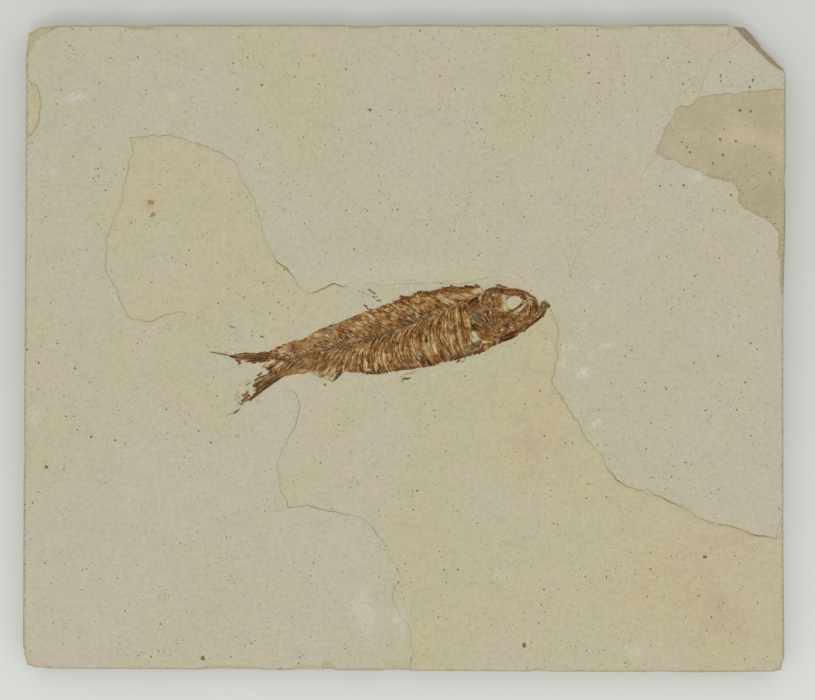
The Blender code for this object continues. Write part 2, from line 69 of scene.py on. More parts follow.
# Each broken edge is drawn with the lower ground on its right: the drop in mm, how dark the
# dirt in it is, the tint of its lower and upper side, how far it takes to die out at its start
# and its end, and its course.
LAYER_EDGES = {
    "left_patch": (0.26, 0.34, 0.2, -0.05, 14, 7, [
        (203, 342), (193, 334), (186, 330), (180, 324), (181, 320), (186, 313), (178, 312), (165, 315),
        (155, 320), (146, 322), (135, 320), (127, 315), (121, 303), (117, 290), (112, 283), (106, 272),
        (105, 258), (107, 246), (105, 240), (110, 228), (115, 216), (121, 205), (122, 195), (126, 178),
        (128, 165), (131, 140), (129, 137), (142, 137), (150, 135), (167, 135), (180, 138), (195, 143),
        (210, 148), (220, 152), (230, 158), (237, 164), (240, 178), (248, 190), (256, 205), (261, 220),
        (263.6, 233), (265, 241), (269, 248.4), (273.4, 256), (285, 267), (293, 275.6), (297, 282),
        (302, 289), (308, 293), (313, 293), (320, 289.6), (326.6, 287), (333.4, 283.4), (342, 286.4),
        (353, 288.8)]),
    "patch_side": (0.03, 0.7, 0.0, 0.0, 3, 2, [(273.4, 256), (285, 267), (293, 275.6), (297, 282)]),
    "patch_tip": (0.03, 0.9, 0.0, 0.0, 1, 4, [
        (311, 293.6), (320, 289.6), (326.6, 287), (333.4, 283.4), (342, 286.4), (353, 288.8)]),
    "above_head": (0.07, 0.3, 0.0, 0.0, 4, 8, [
        (358, 287), (362, 285), (400, 284), (440, 283), (470, 282), (480, 279), (490, 277), (510, 278),
        (522, 282)]),
    "right_edge": (0.3, 0.34, 0.22, -0.2, 6, 0, [
        (546, 301), (549, 305), (553, 313), (558, 325), (559, 335), (557, 350), (555, 370), (552, 384),
        (560, 394), (567, 405), (577, 420), (585, 437), (596, 450), (605, 462), (617, 480), (625, 485),
        (637, 490), (655, 495), (677, 505), (690, 510), (697, 518), (705, 520), (727, 525), (740, 529),
        (752, 534), (765, 536), (777, 539), (778, 525), (781, 518), (790, 505)]),
    "right_dirt": (0.02, 0.75, 0.0, 0.0, 6, 2, [
        (606, 464), (617, 480), (625, 485), (637, 490), (655, 495), (677, 505), (690, 510), (697, 518),
        (705, 520), (727, 525), (740, 529), (752, 534), (765, 536), (776, 538.6)]),
    "lower_edge": (0.22, 0.42, 0.15, -0.15, 0, 10, [
        (413, 676), (413, 655), (411, 632), (408, 625), (402, 618), (396, 608), (392, 597), (394, 590),
        (400, 580), (397, 570), (388, 555), (380, 538), (373, 528), (365, 520), (355, 516), (340, 513),
        (306, 505), (298, 507), (288, 508), (283, 495), (280, 480), (277, 470), (277, 463), (281, 451),
        (288, 438), (295, 427), (298, 415), (299, 402), (296, 394), (290, 390), (282, 391), (272, 396)]),
    "right_flake": (0.3, 0.26, 0.72, 0.0, 0, 0, [
        (792, 305), (784, 300), (780, 285), (781, 260), (779, 233), (773, 224), (765, 218), (750, 211),
        (740, 203), (736, 185), (731, 180), (727, 181), (713, 178), (700, 171), (684, 165), (668, 160),
        (656, 152), (655, 151), (666, 127), (677, 108), (681, 105), (690, 106), (699, 97), (717, 94),
        (738, 94), (750, 91), (772, 89), (792, 88)]),
    "left_flake": (0.4, 0.4, 0.6, 0.0, 0, 0, [
        (16, 72), (26, 75), (33, 84), (40, 96), (41, 105), (39, 120), (36, 128), (26, 137), (16, 141)]),
    "crack_top": (0.05, 0.4, 0.0, 0.0, 0, 6, [(730, 24), (727, 38), (724, 47)]),
    "crack_corner": (0.08, 0.26, 0.0, -0.1, 0, 2, [
        (745, 34), (741, 39), (735, 46), (727, 52), (719, 52), (713, 56), (708, 70), (704, 80), (698, 97),
        (690, 107)]),
    "crack": (0.08, 0.3, 0.05, -0.05, 2, 6, [
        (656, 151), (650, 163), (644, 172), (639, 182)]),
    "low_crack": (0.05, 0.16, 0.05, -0.05, 4, 12, [
        (613, 198), (606, 210), (601, 222), (590, 236), (582, 246), (576, 258), (571, 270), (567, 286),
        (565, 296)]),
    "twig": (0.06, 0.45, 0.0, 0.0, 3, 1.5, [(95, 254), (101, 249), (107, 246)]),
    "spur": (0.06, 0.4, 0.0, 0.0, 2, 3, [(548, 391), (553, 393), (561, 396)]),
    "inner_flake": (0.08, 0.5, 0.0, 0.0, 3, 4, [(765, 182), (757, 187), (745, 192)]),
    "low_curve": (0.05, 0.3, 0.0, 0.0, 8, 5, [
        (235, 532), (248, 536), (258, 537), (268, 534), (280, 529), (298, 527)]),
    "tan_edge": (0.03, 0.16, 0.0, 0.0, 5, 8, [
        (545, 422), (536, 417), (522, 413.6), (508, 415.6), (497, 417), (489, 423)]),
}
RAGGED_STEP = 0.45
RAGGED_WANDER = 0.07
LIP_WIDTH = 0.07
GUARD_WIDTH = 0.22
LAYER_REACH = 45.0
# The dirt in the edges comes and goes along them: its mean, its swing, its size and its limits.
DIRT_MEAN, DIRT_SWING, DIRT_SIZE, DIRT_RANGE = 0.85, 1.1, 9.0, (0.3, 1.2)
# The top layer lies a little under the slab's greatest height, in long waves and short ripples.
FACE_DEPTH = 0.05
WAVE_HEIGHT, WAVE_SIZE = 0.03, 16.0
RIPPLE_HEIGHT, RIPPLE_SIZE = 0.008, 2.4
BATCH = 4000
rough = np.random.default_rng(11)


def ragged(points):
    """Breaks a drawn line up into short uneven steps, as stone breaks."""
    line = np.array(points)
    while True:
        run = np.diff(line, axis=0)
        length = np.hypot(*run.T)
        if length.max() < RAGGED_STEP:
            return line
        long_ones = np.flatnonzero(length >= RAGGED_STEP)
        side = np.column_stack([-run[:, 1], run[:, 0]])
        middles = (line[:-1] + line[1:]) / 2 + rough.normal(0, RAGGED_WANDER, (len(run), 1)) * side
        line = np.insert(line, long_ones + 1, middles[long_ones], axis=0)


def along(line):
    """How far each point of a line lies from its start."""
    return np.concatenate([[0], np.cumsum(np.hypot(*np.diff(line, axis=0).T))])


def sideways(line, width):
    """The line moved to its left by a width."""
    run = np.gradient(line, axis=0)
    run /= np.maximum(np.hypot(*run.T), 1e-9)[:, None]
    return line + width * np.column_stack([-run[:, 1], run[:, 0]])


def measure(points, line):
    """Each point's distance from a line, above zero on its left, and how far along it lies."""
    start, run = line[:-1], np.diff(line, axis=0)
    square = np.maximum((run ** 2).sum(1), 1e-12)
    places = along(line)
    distance, place = np.empty(len(points)), np.empty(len(points))
    for first in range(0, len(points), BATCH):
        batch = slice(first, first + BATCH)
        offset = points[batch, None] - start
        share = np.clip((offset * run).sum(2) / square, 0, 1)
        gap = offset - share[:, :, None] * run
        length = np.hypot(gap[:, :, 0], gap[:, :, 1])
        turn = (run[:, 0] * offset[:, :, 1] - run[:, 1] * offset[:, :, 0]) / np.sqrt(square)
        near = (length - 1e-4 * abs(turn) / (length + 1e-9)).argmin(1)
        rows = np.arange(len(near))
        turn = turn[rows, near]
        distance[batch] = length[rows, near] * np.where(turn < 0, -1, 1)
        place[batch] = places[near] + share[rows, near] * np.sqrt(square[near])
    return distance, place


def soft(value, low, high):
    """0 below low, 1 above high and smooth between."""
    share = np.clip((value - low) / (high - low), 0, 1)
    return share * share * (3 - 2 * share)


def cloud(points, size, seed, octaves=3):
    """Smooth uneven noise from -1 to 1 over the plan, its largest blots about one size across."""
    total, weight = np.zeros(len(points)), 0.0
    for octave in range(octaves):
        table = np.random.default_rng(seed + 57 * octave).uniform(-1, 1, (64, 64))
        place = points / (size / 2 ** octave) + 17.3
        cell = np.floor(place).astype(int)
        part = place - cell
        part = part * part * (3 - 2 * part)
        left, lower = cell.T % 64
        right, upper = (cell.T + 1) % 64
        bottom = table[left, lower] * (1 - part[:, 0]) + table[right, lower] * part[:, 0]
        top = table[left, upper] * (1 - part[:, 0]) + table[right, upper] * part[:, 0]
        total += (bottom * (1 - part[:, 1]) + top * part[:, 1]) / 2 ** octave
        weight += 1 / 2 ** octave
    return total / weight


def oval(points, centre, half, turn=0.0):
    """1 in the middle of an oval of the drawing and 0 past its rim, with a soft fall between."""
    across, up = (points - drawn(centre)).T
    cosine, sine = math.cos(turn), math.sin(turn)
    offset = np.array([across * cosine + up * sine, up * cosine - across * sine])
    return 1 - soft(np.hypot(*(offset / np.reshape(half, (2, 1)))), 0, 1)


layer_lines = {name: ragged(drawn(facts[-1])) for name, facts in LAYER_EDGES.items()}


def layer_fields(points):
    """The depth below the top layer, the tint and the dirt that the broken edges give."""
    depth, tint, dirt = (np.zeros(len(points)) for _ in range(3))
    for name, (drop, dark, low_tint, high_tint, start_fade, end_fade, _) in LAYER_EDGES.items():
        line = layer_lines[name]
        low, high = line.min(0) - LAYER_REACH, line.max(0) + LAYER_REACH
        near = np.flatnonzero(((points > low) & (points < high)).all(1))
        away, place = measure(points[near], line)
        hold = np.ones(len(near))
        if start_fade:
            hold *= soft(place, 0, start_fade)
        if end_fade:
            hold *= soft(along(line)[-1] - place, 0, end_fade)
        fall = hold * (1 - soft(abs(away), 0, LAYER_REACH))
        depth[near] += drop * fall * (away < 0)
        tint[near] += fall * np.where(away < 0, low_tint, high_tint)
        patchy = np.clip(DIRT_MEAN + DIRT_SWING * cloud(points[near], DIRT_SIZE, 315), *DIRT_RANGE)
        stroke = dark * hold * patchy * (1 - soft(abs(away), LIP_WIDTH, GUARD_WIDTH))
        dirt[near] = np.maximum(dirt[near], stroke)
    return depth, tint, np.clip(dirt, 0, 1)


def stone_height(points):
    """The height of the slab's face at points of the plan."""
    depth = layer_fields(points)[0]
    waves = WAVE_HEIGHT * cloud(points, WAVE_SIZE, 5) + RIPPLE_HEIGHT * cloud(points, RIPPLE_SIZE, 6, 2)
    return STONE_TOP - FACE_DEPTH - depth + waves


# ---------------------------------------------------------------- slab: the stone itself
# The plate was sawn and snapped to a rough rectangle. Its sides are blunt and show the layers,
# its upper edge is chipped, and one corner has broken off on a slant. It is one closed mesh.
OUTLINE = [
    (26.8, 32), (25.5, 60), (25, 200), (24, 350), (23, 500), (22.4, 640), (23, 655), (26, 666), (35, 668.5),
    (45, 669), (200, 670), (320, 670.5), (410, 671.3), (600, 672.3), (700, 672.6), (775, 672), (782, 671),
    (785, 658), (784, 520), (784, 300), (786, 235), (786.4, 150), (786.4, 74), (785.8, 68), (779.4, 62.4),
    (770.6, 53.4), (763.4, 47), (760.6, 41.6), (753.6, 33), (746, 25.6), (738, 25), (731, 24.6),
    (728, 23.4), (600, 24), (130, 24.2), (60, 24.8), (39, 25.6),
]
# Chips of the upper edge: the column, the row, and in mm the half length, the depth and the reach down.
EDGE_CHIPS = [
    (33, 31, 6.0, 3.6, 2.6), (29, 665, 5.0, 3.2, 2.4), (232, 670, 8.5, 1.6, 2.4), (307, 670, 3.8, 1.9, 2.0),
    (328, 670, 2.2, 3.4, 2.6), (397, 671, 4.0, 3.4, 3.0), (141, 25, 5.4, 1.8, 1.6),
    (365, 24, 6.5, 1.3, 2.0), (475, 24, 1.8, 0.9, 1.5), (547, 24, 2.4, 1.1, 1.5), (616, 25, 5.4, 1.7, 1.6),
    (783, 667, 2.6, 1.1, 2.0), (786, 180, 3.0, 0.8, 1.6), (23, 455, 3.0, 0.8, 2.0),
    (540, 672, 3.0, 0.8, 1.8), (660, 673, 4.0, 0.7, 1.6),
]
# The upper edge of the broken corner's slanting face, and how far down that face reaches.
CORNER_EDGE = [
    (731.6, 25.6), (735, 31), (741.4, 36), (748, 42.6), (756, 49.4), (769, 62.4), (777, 68), (785.4, 73),
]
CORNER_DROP = 3.2
# Grains and rust spots that stand out: the column, the row, the radius in mm and how rusty it is.
MARKS = [
    (150.4, 202.4, 0.75, 1), (152, 202.6, 0.6, 1), (153, 214.6, 0.7, 1), (203, 658, 0.6, 0),
    (524, 645, 0.6, 0), (705, 557, 0.6, 0), (46, 467, 0.5, 0), (325, 385, 0.34, 1), (262, 85, 0.45, 0),
    (370, 110, 0.45, 0), (75, 368, 0.32, 0), (66, 416, 0.24, 0), (74, 416, 0.24, 0), (91, 437, 0.32, 0),
    (115, 440, 0.28, 0), (718, 356, 0.28, 0), (740, 110, 0.42, 0), (751, 111, 0.34, 0), (753, 80, 0.38, 0),
    (749.6, 87, 0.32, 0), (683, 84, 0.28, 0), (694, 92, 0.24, 1), (229.8, 325.6, 0.18, 0),
    (231.8, 326.6, 0.24, 0), (234.2, 327.6, 0.18, 0), (261, 336, 0.26, 0), (262.6, 337, 0.21, 0),
    (270, 313, 0.26, 0), (288, 308, 0.24, 0), (720, 139, 0.38, 0), (736, 141, 0.34, 0), (723, 155, 0.36, 0),
    (713, 163, 0.32, 0), (690, 152, 0.34, 0), (683.6, 185, 0.38, 0), (660, 186, 0.26, 0),
    (668, 58, 0.26, 0), (689, 62, 0.29, 0), (651, 77, 0.26, 1), (730, 62, 0.24, 0), (721, 75, 0.26, 0),
    (731, 195, 0.28, 0), (682, 142, 0.26, 0), (687, 147, 0.26, 0), (755, 146, 0.26, 0), (770, 173, 0.3, 0),
    (589, 55, 0.32, 0), (589, 73, 0.28, 0), (599, 83, 0.24, 0), (588, 170, 0.26, 0), (721, 81, 0.24, 0),
]
# Soft tints of the stone: the column, the row, the half sizes in mm, the turn and the ochre it adds.
TINTS = [
    (522, 446, 19, 13, 0.2, 0.2), (430, 240, 70, 30, 0.1, -0.15), (735, 625, 50, 44, 0.0, 0.3),
    (477, 337, 4, 4, 0.0, 0.6), (514, 302, 5, 4, 0.0, 0.3), (590, 600, 60, 30, 0.0, 0.12),
    (120, 560, 50, 60, 0.0, -0.3), (768, 120, 10, 22, 0.0, 0.1), (768, 198, 6, 6, 0.0, 0.25),
    (152, 206, 6, 6, 0.0, 0.3), (70, 100, 60, 40, 0.0, -0.3), (787, 300, 3.5, 60, 0.0, 0.3),
    (23, 300, 2.5, 80, 0.0, 0.4), (690, 60, 30, 16, 0.0, 0.15), (720, 350, 40, 50, 0.0, -0.2),
    (540, 680, 90, 5, 0.0, 0.5),
]
# Whitish scuffs where the stone was scraped: the column, the row, the half sizes in mm, the turn
# and the strength.
SCUFFS = [
    (75, 98, 4.5, 2.8, 0.4, 0.8), (188, 42, 5, 2, 0.2, 0.4), (567, 347, 3.2, 1.8, 0.0, 0.9),
    (405, 270, 36, 6, 0.05, 0.3), (563, 362, 2.0, 2.4, 0.0, 0.6), (583, 373, 3.4, 2.4, 0.6, 1.0),
    (596, 424, 3.4, 1.4, 0.6, 1.0), (365, 615, 6, 12, 0.2, 0.5), (36, 416, 3, 6, 0.0, 0.5),
    (634, 650, 6, 3, 0.0, 0.5), (502, 575, 5, 3, 0.3, 0.4), (400, 620, 4, 9, 0.0, 0.4),
    (697, 176, 4.0, 3.2, 0.0, 0.8), (608, 345, 5.0, 1.2, 0.3, 0.7), (597, 287, 1.1, 3.0, -0.1, 0.6),
    (584, 325, 2.6, 1.1, 0.5, 0.8), (590, 355, 2.0, 2.0, 0.0, 0.5), (173, 97, 3.0, 2.4, 0.0, 0.5),
    (55, 172, 2.4, 1.6, 0.0, 0.5), (643, 170, 1.6, 3.0, 0.2, 0.5),
]
RIM_STEP = 0.55
STONE_STEP = 1.0
BACK_STEP = 3.0
END_GAP = 0.35
FOOT = 1.2
CHIP_SHARES = (0.06, 0.5, 1.0)
WALL_SHARES = (0.18, 0.36, 0.52, 0.7, 0.86, 1.0)
FOOT_BEVEL = 0.35
# Filling points stand in rows this far apart as a share of their step, wander by a share of it,
# and keep this many millimetres off the lines.
ROW_SHARE, LATTICE_WANDER, KEEP_OFF = 0.87, 0.15, 0.45
LEAST_ADVANCE = 0.1
CORE_RIM, CORE_SIDES, CORE_UNEVENNESS = 0.12, 9, 0.32
# The upper edge is worn back by this many millimetres, in fine and in long uneven stretches, and
# the wear reaches this far down.
WEAR, FINE_WEAR, LONG_WEAR, WEAR_REACH = 0.22, 0.1, 0.12, 0.6
CHIP_BODY, CHIP_ROUGHNESS = 0.9, 0.25
LEDGE, FINE_LEDGE, LEDGE_FALL = 0.12, 0.05, 1.5
BACK_RELIEF, BACK_BLOT, BACK_MARGIN = 0.1, 30.0, 1.5
FRESH_BREAK = 0.35


def inside(points, outline):
    """Which points of the plan lie inside a closed outline."""
    found = np.zeros(len(points), bool)
    for (x0, y0), (x1, y1) in zip(outline, np.roll(outline, -1, axis=0)):
        spans = (points[:, 1] < y0) != (points[:, 1] < y1)
        found ^= spans & (points[:, 0] < x0 + (points[:, 1] - y0) * (x1 - x0) / (y1 - y0 if y1 != y0 else 1))
    return found


def inward(ring, width):
    """A closed ring, running against the clock, drawn in by a width and eased where it would cross itself."""
    run = np.roll(ring, -3, axis=0) - np.roll(ring, 3, axis=0)
    run /= np.hypot(*run.T)[:, None]
    moved = ring + np.reshape(width, (-1, 1)) * np.column_stack([-run[:, 1], run[:, 0]])
    onward = np.roll(ring, -1, axis=0) - ring
    while True:
        forward = ((np.roll(moved, -1, axis=0) - moved) * onward).sum(1) / (onward ** 2).sum(1)
        tight = forward < LEAST_ADVANCE
        if not tight.any():
            return moved
        tight |= np.roll(tight, 1)
        moved[tight] = ((np.roll(moved, 1, axis=0) + np.roll(moved, -1, axis=0)) / 2)[tight]


def knob(centre, radius, count, unevenness):
    """A small uneven closed loop round a centre."""
    turns = (np.arange(count) + rough.uniform()) / count * math.tau
    reach = radius * (1 + rough.uniform(-unevenness, unevenness, count))
    return centre + reach[:, None] * np.column_stack([np.cos(turns), np.sin(turns)])


def triangles(outline, lines, loops, filling, holes=()):
    """Triangles inside an outline that keep to lines and loops and leave holes: points, faces and rim."""
    plan, count = [outline], len(outline)
    edges = [(step, (step + 1) % count) for step in range(count)]
    for course, closed in [(line, False) for line in lines] + [(ring, True) for ring in [*loops, *holes]]:
        plan.append(course)
        edges += [(count + step, count + step + 1) for step in range(len(course) - 1)]
        edges += [(count + len(course) - 1, count)] if closed else []
        count += len(course)
    plan.append(filling)
    corners = [Vector(point) for point in np.vstack(plan)]
    made = geometry.delaunay_2d_cdt(corners, edges, [], 0, 1e-5, True)
    plan, flat = np.array([tuple(point) for point in made[0]]), np.array(made[2])
    held = inside(plan[flat].mean(1), outline)
    for hole in holes:
        held &= ~inside(plan[flat].mean(1), hole)
    used, flat = np.unique(flat[held], return_inverse=True)
    number = {source: place for place, old in enumerate(used) for source in made[3][old]}
    return plan[used], flat.reshape(-1, 3), [number[step] for step in range(len(outline))]


def lattice(ring, step, margin, keep_off):
    """Slightly uneven points all over a ring's inside, clear of its rim and of some lines."""
    low, high = ring.min(0), ring.max(0)
    rows = []
    for number, height in enumerate(np.arange(low[1], high[1], step * ROW_SHARE)):
        across = np.arange(low[0] + (number % 2) * step / 2, high[0], step)
        rows.append(np.column_stack([across, np.full(len(across), height)]))
    points = np.vstack(rows)
    points += rough.uniform(-LATTICE_WANDER, LATTICE_WANDER, points.shape) * step
    closed = np.vstack([ring, ring[:1]])
    kept = points[measure(points, closed[::4])[0] > margin]
    busy = np.zeros(((high - low) / KEEP_OFF).astype(int) + 3, bool)
    for line in keep_off:
        cell = ((line - low) / KEEP_OFF).astype(int)
        for shift in ((0, 0), (1, 0), (0, 1), (-1, 0), (0, -1)):
            spot = np.clip(cell + shift, 0, np.array(busy.shape) - 1)
            busy[spot[:, 0], spot[:, 1]] = True
    cell = ((kept - low) / KEEP_OFF).astype(int)
    return kept[~busy[cell[:, 0], cell[:, 1]]]


def clipped(line, ring):
    """The stretches of a line that lie well inside a ring."""
    within = measure(line, np.vstack([ring, ring[:1]]))[0] > END_GAP
    breaks = np.flatnonzero(np.diff(within.astype(int))) + 1
    parts = zip(np.split(line, breaks), np.split(within, breaks))
    return [part for part, held in parts if held[0] and len(part) > 1]


def mesh_object(name, points, faces, fields=None):
    """A smooth mesh object at the origin from points in millimetres, with a number per point by name."""
    mesh = bpy.data.meshes.new(name)
    mesh.from_pydata(np.asarray(points) * MM, [], faces)
    for label, values in (fields or {}).items():
        mesh.attributes.new(label, "FLOAT", "POINT").data.foreach_set("value", np.asarray(values, np.float32))
    mesh.polygons.foreach_set("use_smooth", np.ones(len(mesh.polygons), bool))
    mesh.update()
    made = bpy.data.objects.new(name, mesh)
    bpy.context.scene.collection.objects.link(made)
    return made


rim_course = drawn(OUTLINE + OUTLINE[:1])
rim_places = np.arange(0, along(rim_course)[-1], RIM_STEP)
rim = np.column_stack([np.interp(rim_places, along(rim_course), rim_course[:, axis]) for axis in (0, 1)])
inset = WEAR + FINE_WEAR * cloud(rim, 1.6, 21) + LONG_WEAR * np.maximum(cloud(rim, 7.0, 22), 0)
reach = np.full(len(rim), WEAR_REACH)
chipped = np.zeros(len(rim))
for x, y, half, depth, down in EDGE_CHIPS:
    bite = np.sqrt(np.clip(1 - (np.hypot(*(rim - drawn((x, y))).T) / half) ** 2, 0, 1))
    bite *= CHIP_BODY + CHIP_ROUGHNESS * cloud(rim, 1.3, 23)
    reach = np.where(bite * depth > inset, down * np.sqrt(np.clip(bite, 0.05, 1)), reach)
    chipped = np.maximum(chipped, np.clip(bite * 3, 0, 1))
    inset = np.maximum(inset, bite * depth)
corner_edge = drawn(CORNER_EDGE)
beyond, place = measure(rim, corner_edge)
slant = np.where((place > 0) & (place < along(corner_edge)[-1]), np.maximum(beyond, 0), 0)
reach = np.where(slant > inset, CORNER_DROP * np.clip(slant, 0.3, 1), reach)
inset = np.maximum(inset, slant)
top_ring = inward(rim, inset)

lines, loops, cores = [], [], []
for line in layer_lines.values():
    for width in (-GUARD_WIDTH, -LIP_WIDTH, LIP_WIDTH, GUARD_WIDTH):
        lines += clipped(sideways(line, width), top_ring)
for x, y, radius, _ in MARKS:
    middle = drawn((x, y))
    core = knob(middle, radius, CORE_SIDES, CORE_UNEVENNESS)
    cores.append(core)
    loops += [core, middle + (core - middle) * (1 + CORE_RIM / radius)]
filling = lattice(top_ring, STONE_STEP, 0.45, lines + loops)
top_plan, top_faces, top_rim = triangles(top_ring, lines, loops, filling)

# The sides are rings that step down past the chips and then down the wall, with the layers in
# relief, and the back is the face of another layer, nearly flat.
rim_height = stone_height(top_plan[top_rim])
chip_foot = np.maximum(rim_height - reach, FOOT)
points = [np.column_stack([top_plan, stone_height(top_plan)])]
rings = [np.array(top_rim)]
count = len(top_plan)
steps = [("chip", share) for share in CHIP_SHARES] + [("wall", share) for share in WALL_SHARES]
for number, (part, share) in enumerate(steps):
    ledge = LEDGE * (1 + cloud(rim, 4.0, 31 + number)) + FINE_LEDGE * (1 + cloud(rim, 0.9, 77 + number))
    if part == "chip":
        height = rim_height + (chip_foot - rim_height) * share
        ledge = inset * (1 - share) ** LEDGE_FALL + ledge / 2
    else:
        height = chip_foot * (1 - share)
    ledge = ledge + FOOT_BEVEL * (part == "wall" and share == 1)
    points.append(np.column_stack([inward(rim, ledge), height]))
    rings.append(np.arange(count, count + len(rim)))
    count += len(rim)
faces = [tuple(face) for face in top_faces]
for upper, lower in zip(rings, rings[1:]):
    faces += list(zip(lower, np.roll(lower, -1), np.roll(upper, -1), upper))
foot = points[-1][:, :2]
back_plan, back_faces, back_rim = triangles(foot, [], [], lattice(foot, BACK_STEP, BACK_MARGIN, []))
loose = np.setdiff1d(np.arange(len(back_plan)), back_rim)
back_number = np.zeros(len(back_plan), int)
back_number[back_rim] = rings[-1]
back_number[loose] = np.arange(count, count + len(loose))
back_height = BACK_RELIEF * (1 + cloud(back_plan[loose], BACK_BLOT, 41))
points.append(np.column_stack([back_plan[loose], back_height]))
faces += [tuple(back_number[list(face)][::-1]) for face in back_faces]
points = np.vstack(points)

depth, tint, dirt = layer_fields(top_plan)
for x, y, *half, turn, amount in TINTS:
    tint += amount * oval(top_plan, (x, y), half, turn)
scuff, grain, rust = (np.zeros(len(top_plan)) for _ in range(3))
for x, y, *half, turn, amount in SCUFFS:
    scuff = np.maximum(scuff, amount * oval(top_plan, (x, y), half, turn))
for (x, y, _, rusty), core in zip(MARKS, cores):
    middle = drawn((x, y))
    held = inside(top_plan, middle + (core - middle) * 1.03)
    rust[held] = rusty
    grain[held] = 1.0
fields = {"tint": tint, "dirt": dirt, "scuff": scuff, "grain": grain, "rust": rust}
fields = {label: np.append(values, np.zeros(len(points) - len(values))) for label, values in fields.items()}
# corner marks the broken corner's slanting face, which the finish paints darker, partly its break colour and
# partly painted shade.
fields["corner"] = np.zeros(len(points))
fields["broken"] = np.zeros(len(points))
for ring in rings[1:len(CHIP_SHARES) + 1]:
    fields["broken"][ring] = FRESH_BREAK + (1 - FRESH_BREAK) * chipped
    fields["corner"][ring] = np.clip(slant * 4, 0, 1)
for ring in rings[len(CHIP_SHARES) + 1:]:
    fields["broken"][ring] = FRESH_BREAK
slab = mesh_object("limestone_slab", points, faces, fields)


# ---------------------------------------------------------------- slab: its finish
# The stone is a matt cream mud rock: lavender where it is freshly split, olive and ochre in its stains,
# peppered with fine dark grains. Its sides are cut across the layers and show them. Its broken corner is
# painted darker grey-brown, partly its fresh break colour and partly painted shade.
def paint(red, green, blue):
    """A colour as it looks, as the light that a material works in."""
    return (*(((part / 255 + 0.055) / 1.055) ** 2.4 for part in (red, green, blue)), 1.0)


def feed(tree, socket, value):
    """Joins a node or an output to an input, or sets the input's own value."""
    if isinstance(value, bpy.types.Node):
        value = value.outputs[0]
    if isinstance(value, bpy.types.NodeSocket):
        tree.links.new(value, socket)
    elif value is not None:
        socket.default_value = value


def put(tree, kind, *inputs, **settings):
    """Adds a node: its first inputs in order, then its settings and its other inputs by name."""
    node = tree.nodes.new("ShaderNode" + kind)
    for name, value in settings.items():
        if hasattr(node, name):
            setattr(node, name, value)
        else:
            feed(tree, node.inputs[name.replace("_", " ")], value)
    for socket, value in zip(node.inputs, inputs):
        feed(tree, socket, value)
    return node


def work(tree, operation, first, second=None):
    """A sum on one or two values."""
    return put(tree, "Math", first, second, operation=operation)


def level(tree, value, low, high, start=0.0, end=1.0):
    """A value brought from low..high to start..end with soft ends."""
    return put(tree, "MapRange", value, low, high, start, end, interpolation_type="SMOOTHSTEP")


def blend(tree, share, first, second, kind="MIX"):
    """A second colour laid over a first by a share."""
    node = put(tree, "Mix", share, data_type="RGBA", blend_type=kind)
    feed(tree, node.inputs[6], first)
    feed(tree, node.inputs[7], second)
    return node.outputs[2]


def field(tree, name):
    """A number that the mesh carries at each point."""
    return put(tree, "Attribute", attribute_name=name).outputs["Fac"]


def tone_ramp(tree, value, stops):
    """A ramp of colours."""
    node = put(tree, "ValToRGB", value)
    while len(node.color_ramp.elements) < len(stops):
        node.color_ramp.elements.new(0.5)
    for element, (position, colour) in zip(node.color_ramp.elements, stops):
        element.position, element.color = position, colour
    return node


def noise(tree, place, size, detail=2.0, roughness=0.5):
    """Cloudy noise from 0 to 1 whose blots are about one size across, in millimetres."""
    return put(tree, "TexNoise", None, None, Vector=place, Scale=1 / size, Detail=detail, Roughness=roughness)


def effect(name, inputs, outputs):
    """An empty shader node group with named inputs, and its inner input and output nodes."""
    group = bpy.data.node_groups.new(name, "ShaderNodeTree")
    for label, kind, value in inputs:
        socket = group.interface.new_socket(label, in_out="INPUT", socket_type="NodeSocket" + kind)
        if value is not None:
            socket.default_value = value
    for label, kind in outputs:
        group.interface.new_socket(label, in_out="OUTPUT", socket_type="NodeSocket" + kind)
    return group, group.nodes.new("NodeGroupInput").outputs, group.nodes.new("NodeGroupOutput").inputs


def use(tree, group, **values):
    """A group placed in a material, its inputs by name; gives its outputs."""
    node = tree.nodes.new("ShaderNodeGroup")
    node.node_tree = group
    for name, value in values.items():
        feed(tree, node.inputs[name.replace("_", " ")], value)
    return node.outputs


def new_material(name, roughness, specular):
    """A material with one Principled shader; gives it, its tree, the shader and places in millimetres."""
    made = bpy.data.materials.new(name)
    made.use_nodes = True
    tree = made.node_tree
    shader = tree.nodes["Principled BSDF"]
    shader.inputs["Roughness"].default_value = roughness
    shader.inputs["Specular IOR Level"].default_value = specular
    place = put(tree, "VectorMath", tree.nodes.new("ShaderNodeTexCoord").outputs["Object"], operation="SCALE",
                Scale=1 / MM)
    return made, tree, shader, place


def bumped(tree, shader, strength, depth, relief):
    """Raises a finish by a relief, with its depth in metres."""
    feed(tree, shader.inputs["Normal"], put(tree, "Bump", Strength=strength, Distance=depth, Height=relief))


def dress(piece, slot, *nodes, finish=None):
    """Lets a piece ride the slab and stand for some solids, in a finish if one is given. The slot is not
    used.
    """
    if finish:
        piece.data.materials.append(finish)
    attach(piece, "root")
    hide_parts(*nodes)


